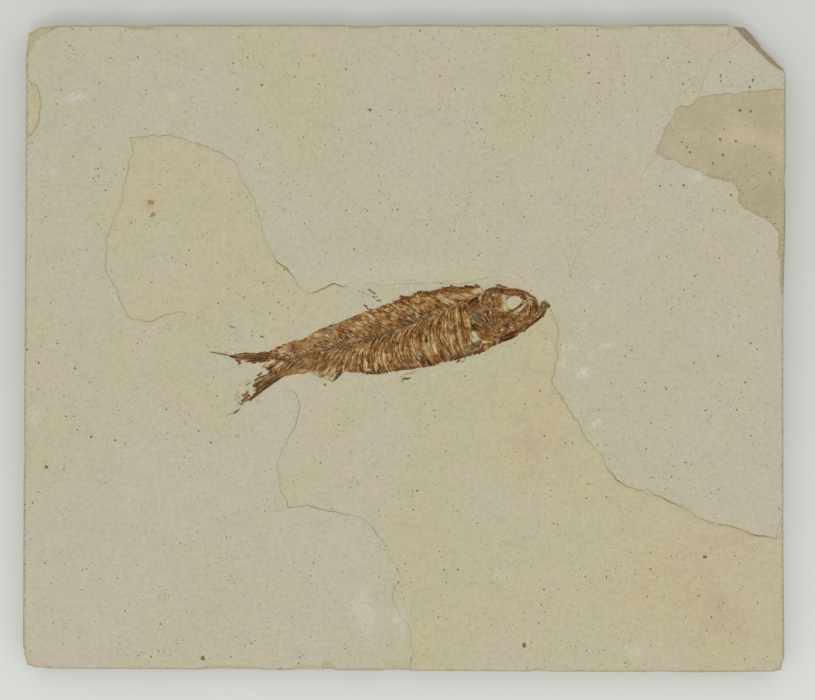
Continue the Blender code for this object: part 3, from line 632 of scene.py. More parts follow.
# Grains of one size scattered through the stone: a mask that is 1 on each grain.
specks, given, result = effect(
    "specks", [("Place", "Vector", None), ("Spacing", "Float", 2.0), ("Radius", "Float", 0.2),
               ("Share", "Float", 0.2)], [("Mask", "Float")])
wander = put(specks, "TexNoise", given["Place"], Scale=3.5, Detail=1.0).outputs["Color"]
wander = put(specks, "VectorMath", wander, operation="SCALE", Scale=0.5)
moved = put(specks, "VectorMath", wander, given["Place"], operation="ADD")
cells = put(specks, "TexVoronoi", moved, Scale=work(specks, "DIVIDE", 1.0, given["Spacing"]))
chance = put(specks, "SeparateColor", cells.outputs["Color"])
size = work(specks, "MULTIPLY", given["Radius"], level(specks, chance.outputs[1], 0.0, 1.0, 0.5, 1.2))
apart = work(specks, "DIVIDE", work(specks, "MULTIPLY", cells.outputs["Distance"], given["Spacing"]), size)
kept = work(specks, "LESS_THAN", chance.outputs[0], given["Share"])
feed(specks, result["Mask"], work(specks, "MULTIPLY", kept, level(specks, apart, 1.15, 0.75)))

limestone, tree, shader, place = new_material("split_limestone", 0.9, 0.25)
broad = noise(tree, place, 30.0, 3.0)
blotch = noise(tree, place, 5.0, 5.0, 0.6)
mottle = noise(tree, place, 1.3, 4.0, 0.6)
warmth = work(tree, "ADD", field(tree, "tint"), level(tree, broad, 0.3, 0.7, -0.16, 0.16))
warmth = work(tree, "ADD", warmth, level(tree, blotch, 0.3, 0.7, -0.07, 0.07))
STONE_TONES = [(0.0, paint(188, 181, 162)), (0.3, paint(189, 181, 156)), (0.55, paint(190, 180, 151)),
               (0.68, paint(191, 178, 146)), (0.84, paint(178, 166, 138)), (1.0, paint(171, 159, 126))]
tones = tone_ramp(tree, level(tree, warmth, -0.5, 1.0), STONE_TONES)
olive = level(tree, noise(tree, place, 24.0, 3.0), 0.4, 0.6)
olive = work(tree, "MULTIPLY", olive, level(tree, warmth, 0.5, 0.25))
tones = blend(tree, olive, tones, (0.968, 1.0, 0.93, 1.0), "MULTIPLY")
value = level(tree, mottle, 0.25, 0.75, -0.06, 0.06)
value = work(tree, "ADD", value, level(tree, blotch, 0.3, 0.7, -0.025, 0.025))
fine = noise(tree, place, 0.35, 3.0, 0.7)
value = work(tree, "ADD", value, level(tree, fine, 0.2, 0.8, -0.07, 0.07))
colour = blend(tree, 1.0, tones, put(tree, "CombineColor", *[work(tree, "ADD", value, 1.0)] * 3), "MULTIPLY")

# The cut sides: layers of slightly different stone, a little paler where they are freshly broken.
height = put(tree, "SeparateXYZ", place).outputs[2]
flat_place = put(tree, "VectorMath", place, (0.04, 0.04, 1.6), operation="MULTIPLY")
layers = noise(tree, flat_place, 1.0, 3.0, 0.7)
side_tone = blend(tree, level(tree, layers, 0.35, 0.65), paint(178, 163, 131), paint(196, 184, 154))
broken = field(tree, "broken")
colour = blend(tree, work(tree, "MULTIPLY", level(tree, broken, 0.1, 0.3), 0.8), colour, side_tone)
# The broken corner's slanting face is darker grey-brown, partly the colour of the fresh break and partly
# painted shade, because that face turns away from the lamp.
break_tone_and_shade = blend(tree, level(tree, mottle, 0.35, 0.6), paint(142, 130, 108), paint(160, 142, 114))
colour = blend(tree, work(tree, "MULTIPLY", field(tree, "corner"), 0.95), colour, break_tone_and_shade)

crowd = level(tree, noise(tree, place, 14.0, 3.0), 0.35, 0.65, 0.15, 0.75)
fine_grains = use(tree, specks, Place=place, Spacing=0.9, Radius=0.17, Share=crowd)["Mask"]
crowd = level(tree, noise(tree, place, 11.0, 3.0), 0.38, 0.66, 0.15, 0.85)
grains = use(tree, specks, Place=place, Spacing=2.0, Radius=0.25, Share=crowd)["Mask"]
faded = level(tree, noise(tree, place, 7.0, 3.0), 0.35, 0.6, 0.15, 0.85)
fine_grains = work(tree, "MULTIPLY", fine_grains, faded)
colour = blend(tree, fine_grains, colour, paint(116, 104, 74))
dark_grains = work(tree, "MULTIPLY", grains, level(tree, broad, 0.3, 0.6, 0.35, 0.9))
colour = blend(tree, dark_grains, colour, paint(84, 74, 52))
powder = level(tree, noise(tree, place, 1.1, 4.0, 0.7), 0.38, 0.56)
chalk = work(tree, "MULTIPLY", field(tree, "scuff"), powder)
colour = blend(tree, chalk, colour, paint(205, 205, 197))
colour = blend(tree, field(tree, "dirt"), colour, paint(122, 107, 62))
rust = field(tree, "rust")
colour = blend(tree, work(tree, "MULTIPLY", field(tree, "grain"), 0.8), colour,
               blend(tree, rust, paint(88, 76, 50), paint(156, 118, 62)))
feed(tree, shader.inputs["Base Color"], colour)
relief = work(tree, "ADD", work(tree, "MULTIPLY", mottle, 0.6), work(tree, "MULTIPLY", fine, 0.4))
relief = work(tree, "SUBTRACT", relief, work(tree, "MULTIPLY", grains, 0.8))
bumped(tree, shader, 0.35, 0.00012, relief)
feed(tree, shader.inputs["Roughness"], level(tree, blotch, 0.3, 0.7, 0.82, 0.95))
dress(slab, "limestone", "slab", finish=limestone)

# ---------------------------------------------------------------- trunk: its skin
# The fish is a film of brown skin and scales pressed on the stone. It is frayed at its edges,
# has flaked off in small gaps, and is streaked along the bones that lie in it.
BACKBONE = [
    (272, 358), (280, 360), (290, 359), (305, 354), (323, 350.5), (335, 348), (354, 343.2), (367, 339.3),
    (381, 334.5), (405.6, 325.8), (416.5, 322), (422, 320), (440, 312), (450, 307.5), (465, 303),
    (480, 299),
]
BACK = [
    (270, 351), (280, 346), (286, 343.5), (300, 340), (307, 337), (310, 334.6), (318, 330), (330, 325),
    (340, 322), (350, 318), (360, 314), (368, 311), (376, 308.6), (388, 303.6), (395, 303), (401, 300),
    (405, 297.6), (412, 297.4), (416, 294.4), (420, 293.2), (435, 292.6), (440, 290.4), (455, 287),
    (461, 288.6), (470, 287.6), (481, 287), (483, 290),
]
BELLY = [
    (276, 371), (278, 378), (285, 376), (290, 375), (302, 374), (307, 372.4), (312, 372.2), (316, 374),
    (322, 375), (328, 374.4), (336, 373), (345, 371.4), (355, 372.4), (368, 374.2), (380, 374),
    (390, 371.6), (400, 370.2), (412, 369.2), (420, 367.2), (433, 365.4), (440, 362.4), (450, 360.6),
    (460, 358.4), (470, 355.6), (478, 353.4), (486, 351), (489, 348), (494, 345.6),
]
TRUNK_FRONT = [
    (499.6, 343.4), (499, 340), (492, 340), (485, 340), (481.4, 339.6), (480.4, 341.6), (476, 343.4),
    (473.4, 342.6), (472, 340.6), (472.4, 336), (472, 330), (474, 322), (474, 312), (476, 303), (479, 297),
    (483, 293),
]
TRUNK_END = [
    (270, 351), (267.6, 353.2), (270.6, 355), (267.4, 357.4), (270, 359.6), (268, 361.6), (263.6, 364.2),
    (262, 366.4), (265.6, 368.4), (270, 366.8), (272.6, 366.8), (270.6, 370), (276, 371.6), (278, 378),
]
TRUNK_GAPS = [
    [(327, 333.8), (328.4, 334.4), (328.6, 336.2), (327.2, 337), (326.2, 335.8)],
    [(369.4, 319), (371, 318.6), (371.8, 321), (371, 323.8), (370.4, 324), (370, 321.5)],
]
# How the bones lean back from the backbone, by column: towards the belly, with their bow, and up
# towards the back, all as shares of their depth.
LEAN_COLUMNS = (270, 285, 320, 345, 360, 379, 408, 429, 445, 457, 466, 490)
BELLY_LEAN = (-2.2, -2.0, -1.3, -0.8, -0.4, -0.13, 0.0, 0.03, 0.1, 0.2, 0.25, 0.3)
BELLY_BOW = (0.0, 0.0, 0.05, 0.0, -0.1, -0.18, -0.2, -0.24, -0.16, -0.07, -0.03, 0.0)
BACK_LEAN = (-2.2, -2.0, -1.8, -1.7, -1.6, -1.5, -1.5, -1.6, -1.8, -1.9, -2.0, -2.0)
FILM_STEP = 0.3
FILM_EDGE = 0.05
FILM_SUNK = 0.08
SKIN_THICK = 0.13
BLOT_WANDER = 0.35
# Where the backbone lies bare, by column.
BARE_FROM, BARE_TO = 292, 430
FRAY, GAP_FRAY, FILM_MARGIN = 0.12, 0.08, 0.12
LEAST_DEPTH, GREATEST_SHARE = 0.5, 1.3
DEPTH_ROUNDS, COURSE_ROUNDS = 12, 24
BONE_PITCH = 1.76
FIRST_RIB_COLUMN = 343

DROP_HEIGHT = 20.0
ground = BVHTree.FromPolygons(points.tolist(), faces)


def ground_height(plan):
    """The height of the stone under points of the plan."""
    down = Vector((0, 0, -1))
    return np.array([ground.ray_cast(Vector((x, y, DROP_HEIGHT)), down)[0].z for x, y in plan])


def frayed(outline, wander=FRAY):
    """A drawn closed outline, run against the clock, with a frayed edge."""
    ring = drawn(outline)
    if np.sum(ring[:, 0] * np.roll(ring[:, 1], -1) - np.roll(ring[:, 0], -1) * ring[:, 1]) < 0:
        ring = ring[::-1]
    ring = ragged(np.vstack([ring, ring[:1]]))[:-1]
    return inward(ring, wander * cloud(ring, 0.9, 51, 2))


def film(name, outlines, gaps, thickness, fields, lift=0.0):
    """A thin closed film on the stone: its outlines, the gaps in it, and numbers for its points."""
    all_points, all_faces, numbers = [], [], {}
    count = 0
    for outline in outlines:
        ring = frayed(outline)
        holes = [hole for hole in (frayed(gap, GAP_FRAY) for gap in gaps) if inside(hole, ring).all()]
        plan, flat, _ = triangles(ring, [], [], lattice(ring, FILM_STEP, FILM_MARGIN, holes), holes)
        directed = {(a, b) for face in flat.tolist() for a, b in zip(face, face[1:] + face[:1])}
        open_edges = [edge for edge in directed if edge[::-1] not in directed]
        rim_points = sorted({point for edge in open_edges for point in edge})
        deep = np.ones(len(plan))
        deep[rim_points] = 0
        stone = ground_height(plan)
        top = stone + lift + FILM_EDGE + deep * thickness(plan)
        all_points += [np.column_stack([plan, top]), np.column_stack([plan, stone - FILM_SUNK])]
        under = count + len(plan)
        all_faces += [tuple(face + count) for face in flat] + [tuple(face[::-1] + under) for face in flat]
        all_faces += [(a + under, b + under, b + count, a + count) for a, b in open_edges]
        count += 2 * len(plan)
        for label, values in fields(plan).items():
            numbers.setdefault(label, []).extend([values, values])
    numbers = {label: np.concatenate(values) for label, values in numbers.items()}
    return mesh_object(name, np.vstack(all_points), all_faces, numbers)


def column(number):
    """Where a column of the drawing lies along the slab."""
    return drawn((number, 0))[0, 0]


def by_column(points):
    """A drawn line as heights by place along the slab."""
    line = drawn(points)
    return lambda place: np.interp(place, line[:, 0], line[:, 1])


backbone_at, back_at, belly_at = by_column(BACKBONE), by_column(BACK), by_column(BELLY)
lean_places = np.array([column(number) for number in LEAN_COLUMNS])
FIRST_RIB = column(FIRST_RIB_COLUMN)


def bone_shape(root, below):
    """The depth, the lean and the bow of the bones that root at places on the backbone."""
    lean = np.where(below, np.interp(root, lean_places, BELLY_LEAN), np.interp(root, lean_places, BACK_LEAN))
    bow = np.where(below, np.interp(root, lean_places, BELLY_BOW), 0.0)
    depth = np.full(len(root), 3.0)
    for _ in range(DEPTH_ROUNDS):
        tip = root + lean * depth
        edge = np.where(below, backbone_at(root) - belly_at(tip), back_at(tip) - backbone_at(root))
        depth = (depth + np.maximum(edge, LEAST_DEPTH)) / 2
    return depth, lean, bow


def bone_course(plan):
    """Where the bone through each point roots on the backbone, and how far out along it the point is."""
    root = plan[:, 0].copy()
    for _ in range(COURSE_ROUNDS):
        rise = plan[:, 1] - backbone_at(root)
        depth, lean, bow = bone_shape(root, rise < 0)
        share = np.clip(abs(rise) / depth, 0, GREATEST_SHARE)
        root += 0.5 * (plan[:, 0] - root - (lean * share + 4 * bow * share * (1 - share)) * depth)
    return root, share, rise


def blots(plan, spots):
    """Soft spots, each a column, a row, half sizes in mm, a turn and a strength, with broken rims."""
    total = np.zeros(len(plan))
    moved = plan + BLOT_WANDER * np.column_stack([cloud(plan, 1.1, 61, 2), cloud(plan, 1.1, 62, 2)])
    for x, y, *half, turn, amount in spots:
        total = np.maximum(total, amount * soft(oval(moved, (x, y), half, turn), 0.0, 0.5))
    return total


DARK_SKIN = [
    (321, 347, 1.2, 0.35, -0.7, 1.0), (458, 290.5, 5.5, 0.8, 0.05, 0.8), (407, 299.4, 2.0, 0.8, 0.3, 0.8),
    (433, 294, 2.6, 0.8, 0.3, 0.8), (403, 301, 2.6, 1.0, 0.4, 0.8), (424, 361, 3.0, 1.6, -0.6, 0.8),
    (437, 364, 1.2, 0.9, 0.0, 0.9), (457, 357, 2.4, 0.9, 0.3, 0.9), (395, 368, 9.0, 0.7, 0.06, 0.5),
    (380, 372, 5.0, 0.6, 0.0, 0.6), (387, 369, 1.0, 1.4, 0.0, 0.6), (378, 371, 0.8, 1.0, 0.0, 0.6),
    (452, 308, 2.4, 1.0, 0.4, 0.4), (346.5, 366, 3.4, 0.75, 0.93, 1.0), (445, 350, 2.0, 3.0, 0.2, 0.4),
    (330, 343, 7.0, 1.2, 0.25, 0.5), (400, 322, 16.0, 2.4, 0.34, 0.35), (346, 336, 12.0, 2.0, 0.3, 0.4),
    (395, 370, 0.8, 1.0, 0.0, 0.6), (484, 344.6, 2.0, 0.9, 0.3, 0.7), (493, 342.8, 1.8, 0.7, 0.2, 0.7),
    (435, 319, 8.0, 1.0, 0.4, 0.4), (410, 367, 1.2, 0.9, 0.0, 0.5), (470, 352, 1.6, 0.8, 0.3, 0.5),
    (300, 357, 5.0, 0.6, 0.25, 0.5), (384, 322, 8.0, 2.8, 0.36, 0.5), (378, 311, 2.0, 0.8, 0.4, 0.7),
    (421, 297, 2.2, 0.6, 0.2, 0.7), (446, 291.6, 3.0, 0.7, 0.2, 0.8), (333, 356, 5.0, 0.7, 0.3, 0.4),
    (415, 315, 5.0, 1.0, 0.4, 0.4),
]
GREY_SKIN = [
    (304, 354.5, 2.4, 1.1, 0.3, 0.5), (323, 350, 2.2, 1.4, 0.2, 0.7), (337, 347, 3.0, 1.6, 0.2, 0.8),
    (354, 343, 3.6, 1.5, 0.25, 0.8), (368, 338.6, 2.6, 1.3, 0.3, 0.8), (381, 334, 3.0, 1.2, 0.35, 0.6),
    (405.6, 325.6, 2.4, 1.2, 0.35, 0.9), (418, 321.4, 3.2, 1.3, 0.35, 1.0), (475, 310, 1.2, 2.4, 0.0, 0.7),
    (331, 328, 4.2, 1.4, 0.4, 0.9), (345, 323, 2.2, 1.1, 0.3, 0.7), (408, 363.4, 2.4, 1.3, 0.2, 0.8),
    (464, 349, 4.0, 1.5, 0.35, 0.8), (457, 353, 2.4, 0.9, 0.3, 0.7), (446, 307, 3.4, 1.2, 0.45, 0.3),
    (396, 359, 1.5, 1.0, 0.0, 0.4), (430, 300, 2.2, 0.8, 0.1, 0.25), (473, 347, 2.4, 1.4, 0.3, 0.6),
    (340, 354, 6.0, 1.6, 0.2, 0.35), (372, 372, 3.0, 0.8, 0.0, 0.4), (296, 360, 4.0, 1.0, 0.2, 0.4),
    (420, 352, 1.6, 1.2, 0.0, 0.5), (393, 333, 2.4, 0.9, 0.4, 0.5), (458, 305, 2.4, 0.9, 0.3, 0.2),
]
PALE_SKIN = [
    (284, 350, 2.6, 1.0, 0.4, 0.5), (283, 354.6, 1.5, 0.45, 0.1, 0.9), (286.4, 347.6, 0.6, 0.6, 0.3, 0.9),
    (318, 335, 1.8, 0.8, 0.2, 0.6), (305, 351, 0.6, 0.4, 0.0, 1.0), (322.6, 351.7, 0.6, 0.4, 0.0, 1.0),
    (371, 320, 1.4, 2.2, 0.0, 0.7), (431, 349, 2.2, 3.0, 0.1, 0.4), (452, 338, 1.0, 2.0, -0.1, 0.6),
    (328, 372, 3.4, 1.4, 0.8, 1.0), (317, 373, 2.6, 0.8, 0.15, 0.8), (365.6, 366, 0.9, 2.4, 0.15, 1.0),
    (367.8, 370, 1.5, 0.7, 0.0, 1.0), (447, 301, 3.0, 1.1, -0.2, 0.7), (458, 297, 3.4, 0.9, -0.1, 0.7),
    (477, 291, 2.4, 1.2, 0.2, 0.8), (384, 356, 0.7, 1.6, 0.0, 0.8), (420, 353, 1.2, 1.2, 0.0, 0.4),
    (426, 332, 1.0, 1.2, 0.0, 0.5), (394, 316, 1.4, 1.6, 0.3, 0.4), (459, 333, 0.7, 1.8, 0.1, 0.7),
    (471, 336, 0.7, 1.8, 0.1, 0.8), (305, 371, 3.5, 0.8, 0.0, 0.35), (410, 312, 2.0, 1.2, 0.4, 0.4),
    (281, 364.8, 2.6, 1.4, 0.7, 0.9), (463, 296, 2.4, 1.2, 0.2, 0.4), (487, 341.6, 2.2, 0.6, 0.1, 0.7),
    (441, 297, 2.0, 0.9, 0.2, 0.5), (356, 325, 3.0, 1.2, 0.3, 0.3), (312, 344, 2.4, 0.8, 0.3, 0.3),
    (270, 363.4, 2.8, 1.2, 0.3, 0.9), (274, 353, 0.7, 0.4, 0.3, 0.8), (278, 358.6, 1.6, 0.4, -0.3, 0.7),
    (288, 370, 1.4, 0.7, 0.9, 0.7), (327.4, 335.4, 1.1, 1.2, 0.0, 0.9), (376, 367.2, 0.7, 1.9, 0.2, 1.0),
    (434.4, 348.6, 0.7, 2.6, 0.1, 1.0), (483.6, 341.4, 1.2, 0.6, 0.1, 1.0),
    (428.6, 344.6, 0.5, 1.2, 0.1, 0.9), (423.6, 348, 0.5, 1.0, 0.1, 0.6), (414, 325.4, 1.0, 0.3, 0.3, 0.7),
    (433, 313, 1.0, 0.5, 0.3, 0.9), (398, 330.4, 1.8, 0.3, 0.3, 0.6), (399, 347, 0.5, 1.2, 0.0, 0.6),
    (408, 340, 0.4, 1.2, 0.0, 0.5), (383, 361, 0.5, 1.2, 0.1, 0.7), (446, 324, 0.5, 1.4, 0.0, 0.7),
    (414, 305.6, 0.6, 1.2, 0.4, 0.7), (310, 335.6, 1.4, 0.5, 0.3, 0.5), (366, 347, 1.4, 0.4, 0.9, 0.4),
    (341, 356, 1.6, 0.3, 0.6, 0.5), (441, 335, 0.5, 1.6, 0.0, 0.5),
]
RUSTY_SKIN = [
    (455, 290, 6.0, 0.9, 0.05, 0.7), (433, 296, 3.0, 0.8, 0.2, 0.6), (400, 302, 3.0, 0.9, 0.4, 0.6),
    (436, 350, 1.2, 3.2, 0.1, 0.4), (404, 335, 2.4, 4.0, 0.0, 0.4), (356, 369, 3.0, 0.6, 0.1, 0.5),
    (384, 320, 9.0, 3.0, 0.36, 0.45), (425, 308, 9.0, 2.6, 0.36, 0.35), (450, 335, 5.0, 5.0, 0.0, 0.3),
    (350, 338, 7.0, 1.6, 0.3, 0.3), (446, 291.6, 3.0, 0.7, 0.2, 0.7),
]
# Where the skin lies smooth, without the marks of the bones.
CALM_SKIN = [
    (316, 338, 11, 2.6, 0.42, 1.0), (300, 345, 6, 2.2, 0.3, 1.0), (296, 369, 8, 2.2, 0.05, 1.0),
    (330, 364, 5, 2.0, 0.2, 0.7), (352, 364, 3, 3, 0.0, 0.6), (345, 322, 7, 1.6, 0.4, 0.7),
    (466, 352, 6, 2.4, 0.3, 1.0),
]


def skin_fields(plan):
    """What the trunk's skin carries: the course of its bones, and where it is dark, grey, pale or rusty."""
    root, share, rise = bone_course(plan)
    on_backbone = np.clip(1.6 - abs(rise) / 0.9, 0, 1) * (root > column(BARE_FROM)) * (root < column(BARE_TO))
    mineral = on_backbone * np.clip(0.35 + 2.2 * cloud(plan, 1.5, 77, 3), 0, 0.95)
    return {"across": root, "outward": np.sign(rise) * share * 10, "dark": blots(plan, DARK_SKIN),
            "grey": np.maximum(mineral, blots(plan, GREY_SKIN)), "pale": blots(plan, PALE_SKIN),
            "rusty": blots(plan, RUSTY_SKIN), "calm": blots(plan, CALM_SKIN)}


def skin_thickness(plan):
    """How thick the skin is: it swells a little over each bone in it."""
    root, share, rise = bone_course(plan)
    ridge = 0.03 * np.cos(root / BONE_PITCH * math.tau) * (rise < 0) * (root > lean_places[3])
    return SKIN_THICK + ridge + 0.03 * cloud(plan, 0.9, 71, 2)


TRUNK = BACK + TRUNK_FRONT[::-1] + BELLY[:0:-1] + TRUNK_END[-2:0:-1]
trunk_skin = film("trunk_skin", [TRUNK], TRUNK_GAPS, skin_thickness, skin_fields)

# The colours of every fossil part: a ramp from nearly black bone to bleached scale, then the masks
# for dark bone, grey mineral, bare patches and rust laid over it.
fossil_tones, given, result = effect(
    "fossil_tones", [("Tone", "Float", 0.5), ("Dark", "Float", 0.0), ("Grey", "Float", 0.0),
                     ("Pale", "Float", 0.0), ("Rusty", "Float", 0.0)], [("Color", "Color")])
BONE_TONES = [(0.0, paint(56, 32, 12)), (0.22, paint(98, 61, 28)), (0.48, paint(145, 104, 55)),
              (0.72, paint(176, 138, 82)), (1.0, paint(212, 192, 144))]
MASK_TONES = [("Rusty", 0.8, (0.1, paint(104, 56, 22)), (0.8, paint(184, 124, 46))),
              ("Grey", 0.75, (0.1, paint(64, 56, 44)), (0.8, paint(150, 134, 104))),
              ("Dark", 0.8, (0.1, paint(46, 28, 12)), (0.9, paint(112, 76, 36))),
              ("Pale", 1.0, (0.1, paint(174, 150, 102)), (0.8, paint(208, 192, 150)))]
colour = tone_ramp(fossil_tones, given["Tone"], BONE_TONES)
for mask, strength, *stops in MASK_TONES:
    laid_over = work(fossil_tones, "MULTIPLY", given[mask], strength)
    colour = blend(fossil_tones, laid_over, colour, tone_ramp(fossil_tones, given["Tone"], stops))
feed(fossil_tones, result["Color"], colour)

# Streaks that run along the bones: across counts millimetres from bone to bone, outward the way
# out along them. Gives -1 to 1.
streaks, given, result = effect(
    "streaks", [("Across", "Float", 0.0), ("Outward", "Float", 0.0), ("Width", "Float", 0.5),
                ("Length", "Float", 5.0)], [("Value", "Float")])
lane = put(streaks, "CombineXYZ", work(streaks, "DIVIDE", given["Across"], given["Width"]),
           work(streaks, "DIVIDE", given["Outward"], given["Length"]))
streak = put(streaks, "TexNoise", lane, Scale=1.0, Detail=3.0, Roughness=0.6)
feed(streaks, result["Value"], level(streaks, streak, 0.34, 0.66, -1.0, 1.0))


def add(tree, *values):
    """The sum of several values."""
    total = values[0]
    for value in values[1:]:
        total = work(tree, "ADD", total, value)
    return total


def scaled(tree, value, share):
    """A value times a share."""
    return work(tree, "MULTIPLY", value, share)


def crumbs(tree, place, size, low=0.3, high=0.7):
    """Fine crumbly noise from -1 to 1."""
    return level(tree, noise(tree, place, size, 4.0, 0.7), low, high, -1.0, 1.0)


skin, tree, shader, place = new_material("pressed_skin", 0.7, 0.12)
across, outward = field(tree, "across"), field(tree, "outward")
below = work(tree, "LESS_THAN", outward, 0.0)
lanes = work(tree, "DIVIDE", across, level(tree, below, 0.0, 1.0, 1.8, 1.0))
broad_streak = use(tree, streaks, Across=lanes, Outward=outward, Width=1.0, Length=7.0)["Value"]
fine_streak = use(tree, streaks, Across=lanes, Outward=outward, Width=0.5, Length=2.6)["Value"]
strokes = use(tree, streaks, Across=add(tree, lanes, 40.0), Outward=outward, Width=0.44, Length=1.5)["Value"]
# Painted light and shade on the ribs: a pale band just to one side of each rib and darker skin between the
# ribs, as if each rib were lit from one side.
phase = put(tree, "Math", add(tree, across, -FIRST_RIB), BONE_PITCH, operation="FLOORED_MODULO")
painted_rib_highlight = work(tree, "MULTIPLY", level(tree, phase, 0.15, 0.45), level(tree, phase, 1.1, 0.6))
painted_rib_light_and_shade = add(tree, work(tree, "MULTIPLY", painted_rib_highlight, level(tree, noise(tree, place, 2.6), 0.3, 0.6)), -0.3)
under_belly = scaled(tree, below, level(tree, across, lean_places[2], lean_places[4]))
painted_rib_shading = scaled(tree, painted_rib_light_and_shade, under_belly)
patches = noise(tree, place, 4.0)
bleached = work(tree, "MULTIPLY", level(tree, strokes, 0.35, 0.8), level(tree, patches, 0.4, 0.56))
burnt = work(tree, "MULTIPLY", level(tree, strokes, -0.2, -0.6, 0.0, 0.22), level(tree, patches, 0.7, 0.4))
crumb = crumbs(tree, place, 0.9)
clouds = level(tree, noise(tree, place, 3.5, 3.0), 0.3, 0.7, -1.0, 1.0)
grooved = level(tree, field(tree, "calm"), 0.0, 1.0, 1.0, 0.3)
streaked = scaled(tree, add(tree, scaled(tree, broad_streak, 0.1), scaled(tree, fine_streak, 0.18)), grooved)
tone = add(tree, 0.48, streaked, scaled(tree, painted_rib_shading, 0.16), scaled(tree, crumb, 0.16),
           scaled(tree, clouds, 0.12), scaled(tree, burnt, scaled(tree, grooved, -1.0)))
front = work(tree, "MULTIPLY", work(tree, "SUBTRACT", 1.0, below), level(
    tree, across, lean_places[6], lean_places[7], 0.6, 0.95))
bleached = scaled(tree, bleached, work(tree, "MAXIMUM", front, 0.75))
bleached = scaled(tree, bleached, grooved)
bleached = work(tree, "MAXIMUM", field(tree, "pale"), bleached)
reddish = level(tree, noise(tree, place, 5.0, 3.0), 0.45, 0.65, 0.0, 0.4)
greyish = work(tree, "MAXIMUM", field(tree, "grey"), scaled(tree, field(tree, "calm"), 0.35))
reddish = work(tree, "MAXIMUM", field(tree, "rusty"), reddish)
colour = use(tree, fossil_tones, Tone=tone, Dark=field(tree, "dark"), Grey=greyish, Pale=bleached,
             Rusty=reddish)["Color"]
feed(tree, shader.inputs["Base Color"], colour)
feed(tree, shader.inputs["Roughness"], level(tree, crumb, -1.0, 1.0, 0.5, 0.8))
relief = add(tree, scaled(tree, fine_streak, 0.5), scaled(tree, crumb, 0.5))
bumped(tree, shader, 0.4, 0.00008, relief)
dress(trunk_skin, "body_bone", "trunk", finish=skin)

# ---------------------------------------------------------------- trunk: ribs and spines
# Under each vertebra hangs a thin curved rib, over it rises a spine, and behind the belly the spines go both
# ways. They are flattened rods of dark bone, half sunk in the skin. The rib_shadows fan lays more thin dark
# rods at half the rib spacing, on and between the ribs, as painted shade.
BONE_SIDES = 5
BONE_RINGS = 10


def grow_tree(name, sizes):
    """An empty geometry tree with a geometry input, named sizes and a geometry output."""
    tree = bpy.data.node_groups.new(name, "GeometryNodeTree")
    tree.interface.new_socket("Geometry", in_out="INPUT", socket_type="NodeSocketGeometry")
    for label, value in sizes.items():
        socket = tree.interface.new_socket(label, in_out="INPUT", socket_type="NodeSocket" + (
            "Int" if isinstance(value, int) else "Float"))
        socket.default_value = value
    tree.interface.new_socket("Finish", in_out="INPUT", socket_type="NodeSocketMaterial")
    tree.interface.new_socket("Geometry", in_out="OUTPUT", socket_type="NodeSocketGeometry")
    return tree, tree.nodes.new("NodeGroupInput").outputs, tree.nodes.new("NodeGroupOutput").inputs


def grow(tree, kind, **settings):
    """Adds a node to a geometry tree, with its settings and inputs by name."""
    node = tree.nodes.new(kind)
    for name, value in settings.items():
        label = name.replace("_", " ")
        if label in node.inputs:
            socket = next(item for item in node.inputs if item.name == label and item.enabled)
            feed(tree, socket, value)
        else:
            setattr(node, name, value)
    return node


def stored(tree, name):
    """A number that each point carries."""
    return next(out for out in grow(tree, "GeometryNodeInputNamedAttribute", Name=name).outputs
                if out.name == "Attribute" and out.enabled)


def chance_between(tree, low, high, seed):
    """A random number for each point."""
    return grow(tree, "FunctionNodeRandomValue", data_type="FLOAT", Min=low, Max=high, Seed=seed).outputs[1]


# One tree for every fan of thin bones: each point of the mesh it is given carries the heading, the
# reach and the sideways bow of one bone, and grows a tapered, flattened rod.
fan, given, result = grow_tree("bone_fan", {
    "Bone Width": 0.3, "Flatness": 0.5, "Tip Share": 0.35, "Unevenness": 0.1, "Seed": 1})
rod = grow(fan, "GeometryNodeCurvePrimitiveLine", End=(1.0, 0.0, 0.0))
rod = grow(fan, "GeometryNodeResampleCurve", Curve=rod, Count=BONE_RINGS)
share = grow(fan, "GeometryNodeSplineParameter").outputs["Factor"]
rod = grow(fan, "GeometryNodeStoreNamedAttribute", data_type="FLOAT", Geometry=rod, Name="share", Value=share)
narrowing = work(fan, "SUBTRACT", 1.0, given["Tip Share"])
radius = work(fan, "SUBTRACT", 1.0, work(fan, "MULTIPLY", work(fan, "POWER", share, 1.5), narrowing))
rod = grow(fan, "GeometryNodeSetCurveRadius", Curve=rod, Radius=radius)
section = grow(fan, "GeometryNodeCurvePrimitiveCircle", Resolution=BONE_SIDES, Radius=0.5)
rod = grow(fan, "GeometryNodeCurveToMesh", Curve=rod, Profile_Curve=section, Fill_Caps=True)
tone_shift = chance_between(fan, -1.0, 1.0, given["Seed"])
rooted = grow(fan, "GeometryNodeStoreNamedAttribute", data_type="FLOAT", Geometry=given["Geometry"],
              Name="shade", Value=tone_shift)
uneven = given["Unevenness"]
less = work(fan, "MULTIPLY", uneven, -1.0)
aim_error = chance_between(fan, less, uneven, work(fan, "ADD", given["Seed"], 1))
turned = work(fan, "ADD", stored(fan, "heading"), aim_error)
longer = work(fan, "ADD", 1.0, chance_between(fan, less, uneven, work(fan, "ADD", given["Seed"], 2)))
reach_out = work(fan, "MULTIPLY", stored(fan, "reach"), longer)
wide = work(fan, "MULTIPLY", work(fan, "MULTIPLY", given["Bone Width"], stored(fan, "girth")), longer)
turn_round = grow(fan, "ShaderNodeCombineXYZ", Z=turned)
tall = work(fan, "MULTIPLY", wide, given["Flatness"])
stretch = grow(fan, "ShaderNodeCombineXYZ", X=reach_out, Y=wide, Z=tall)
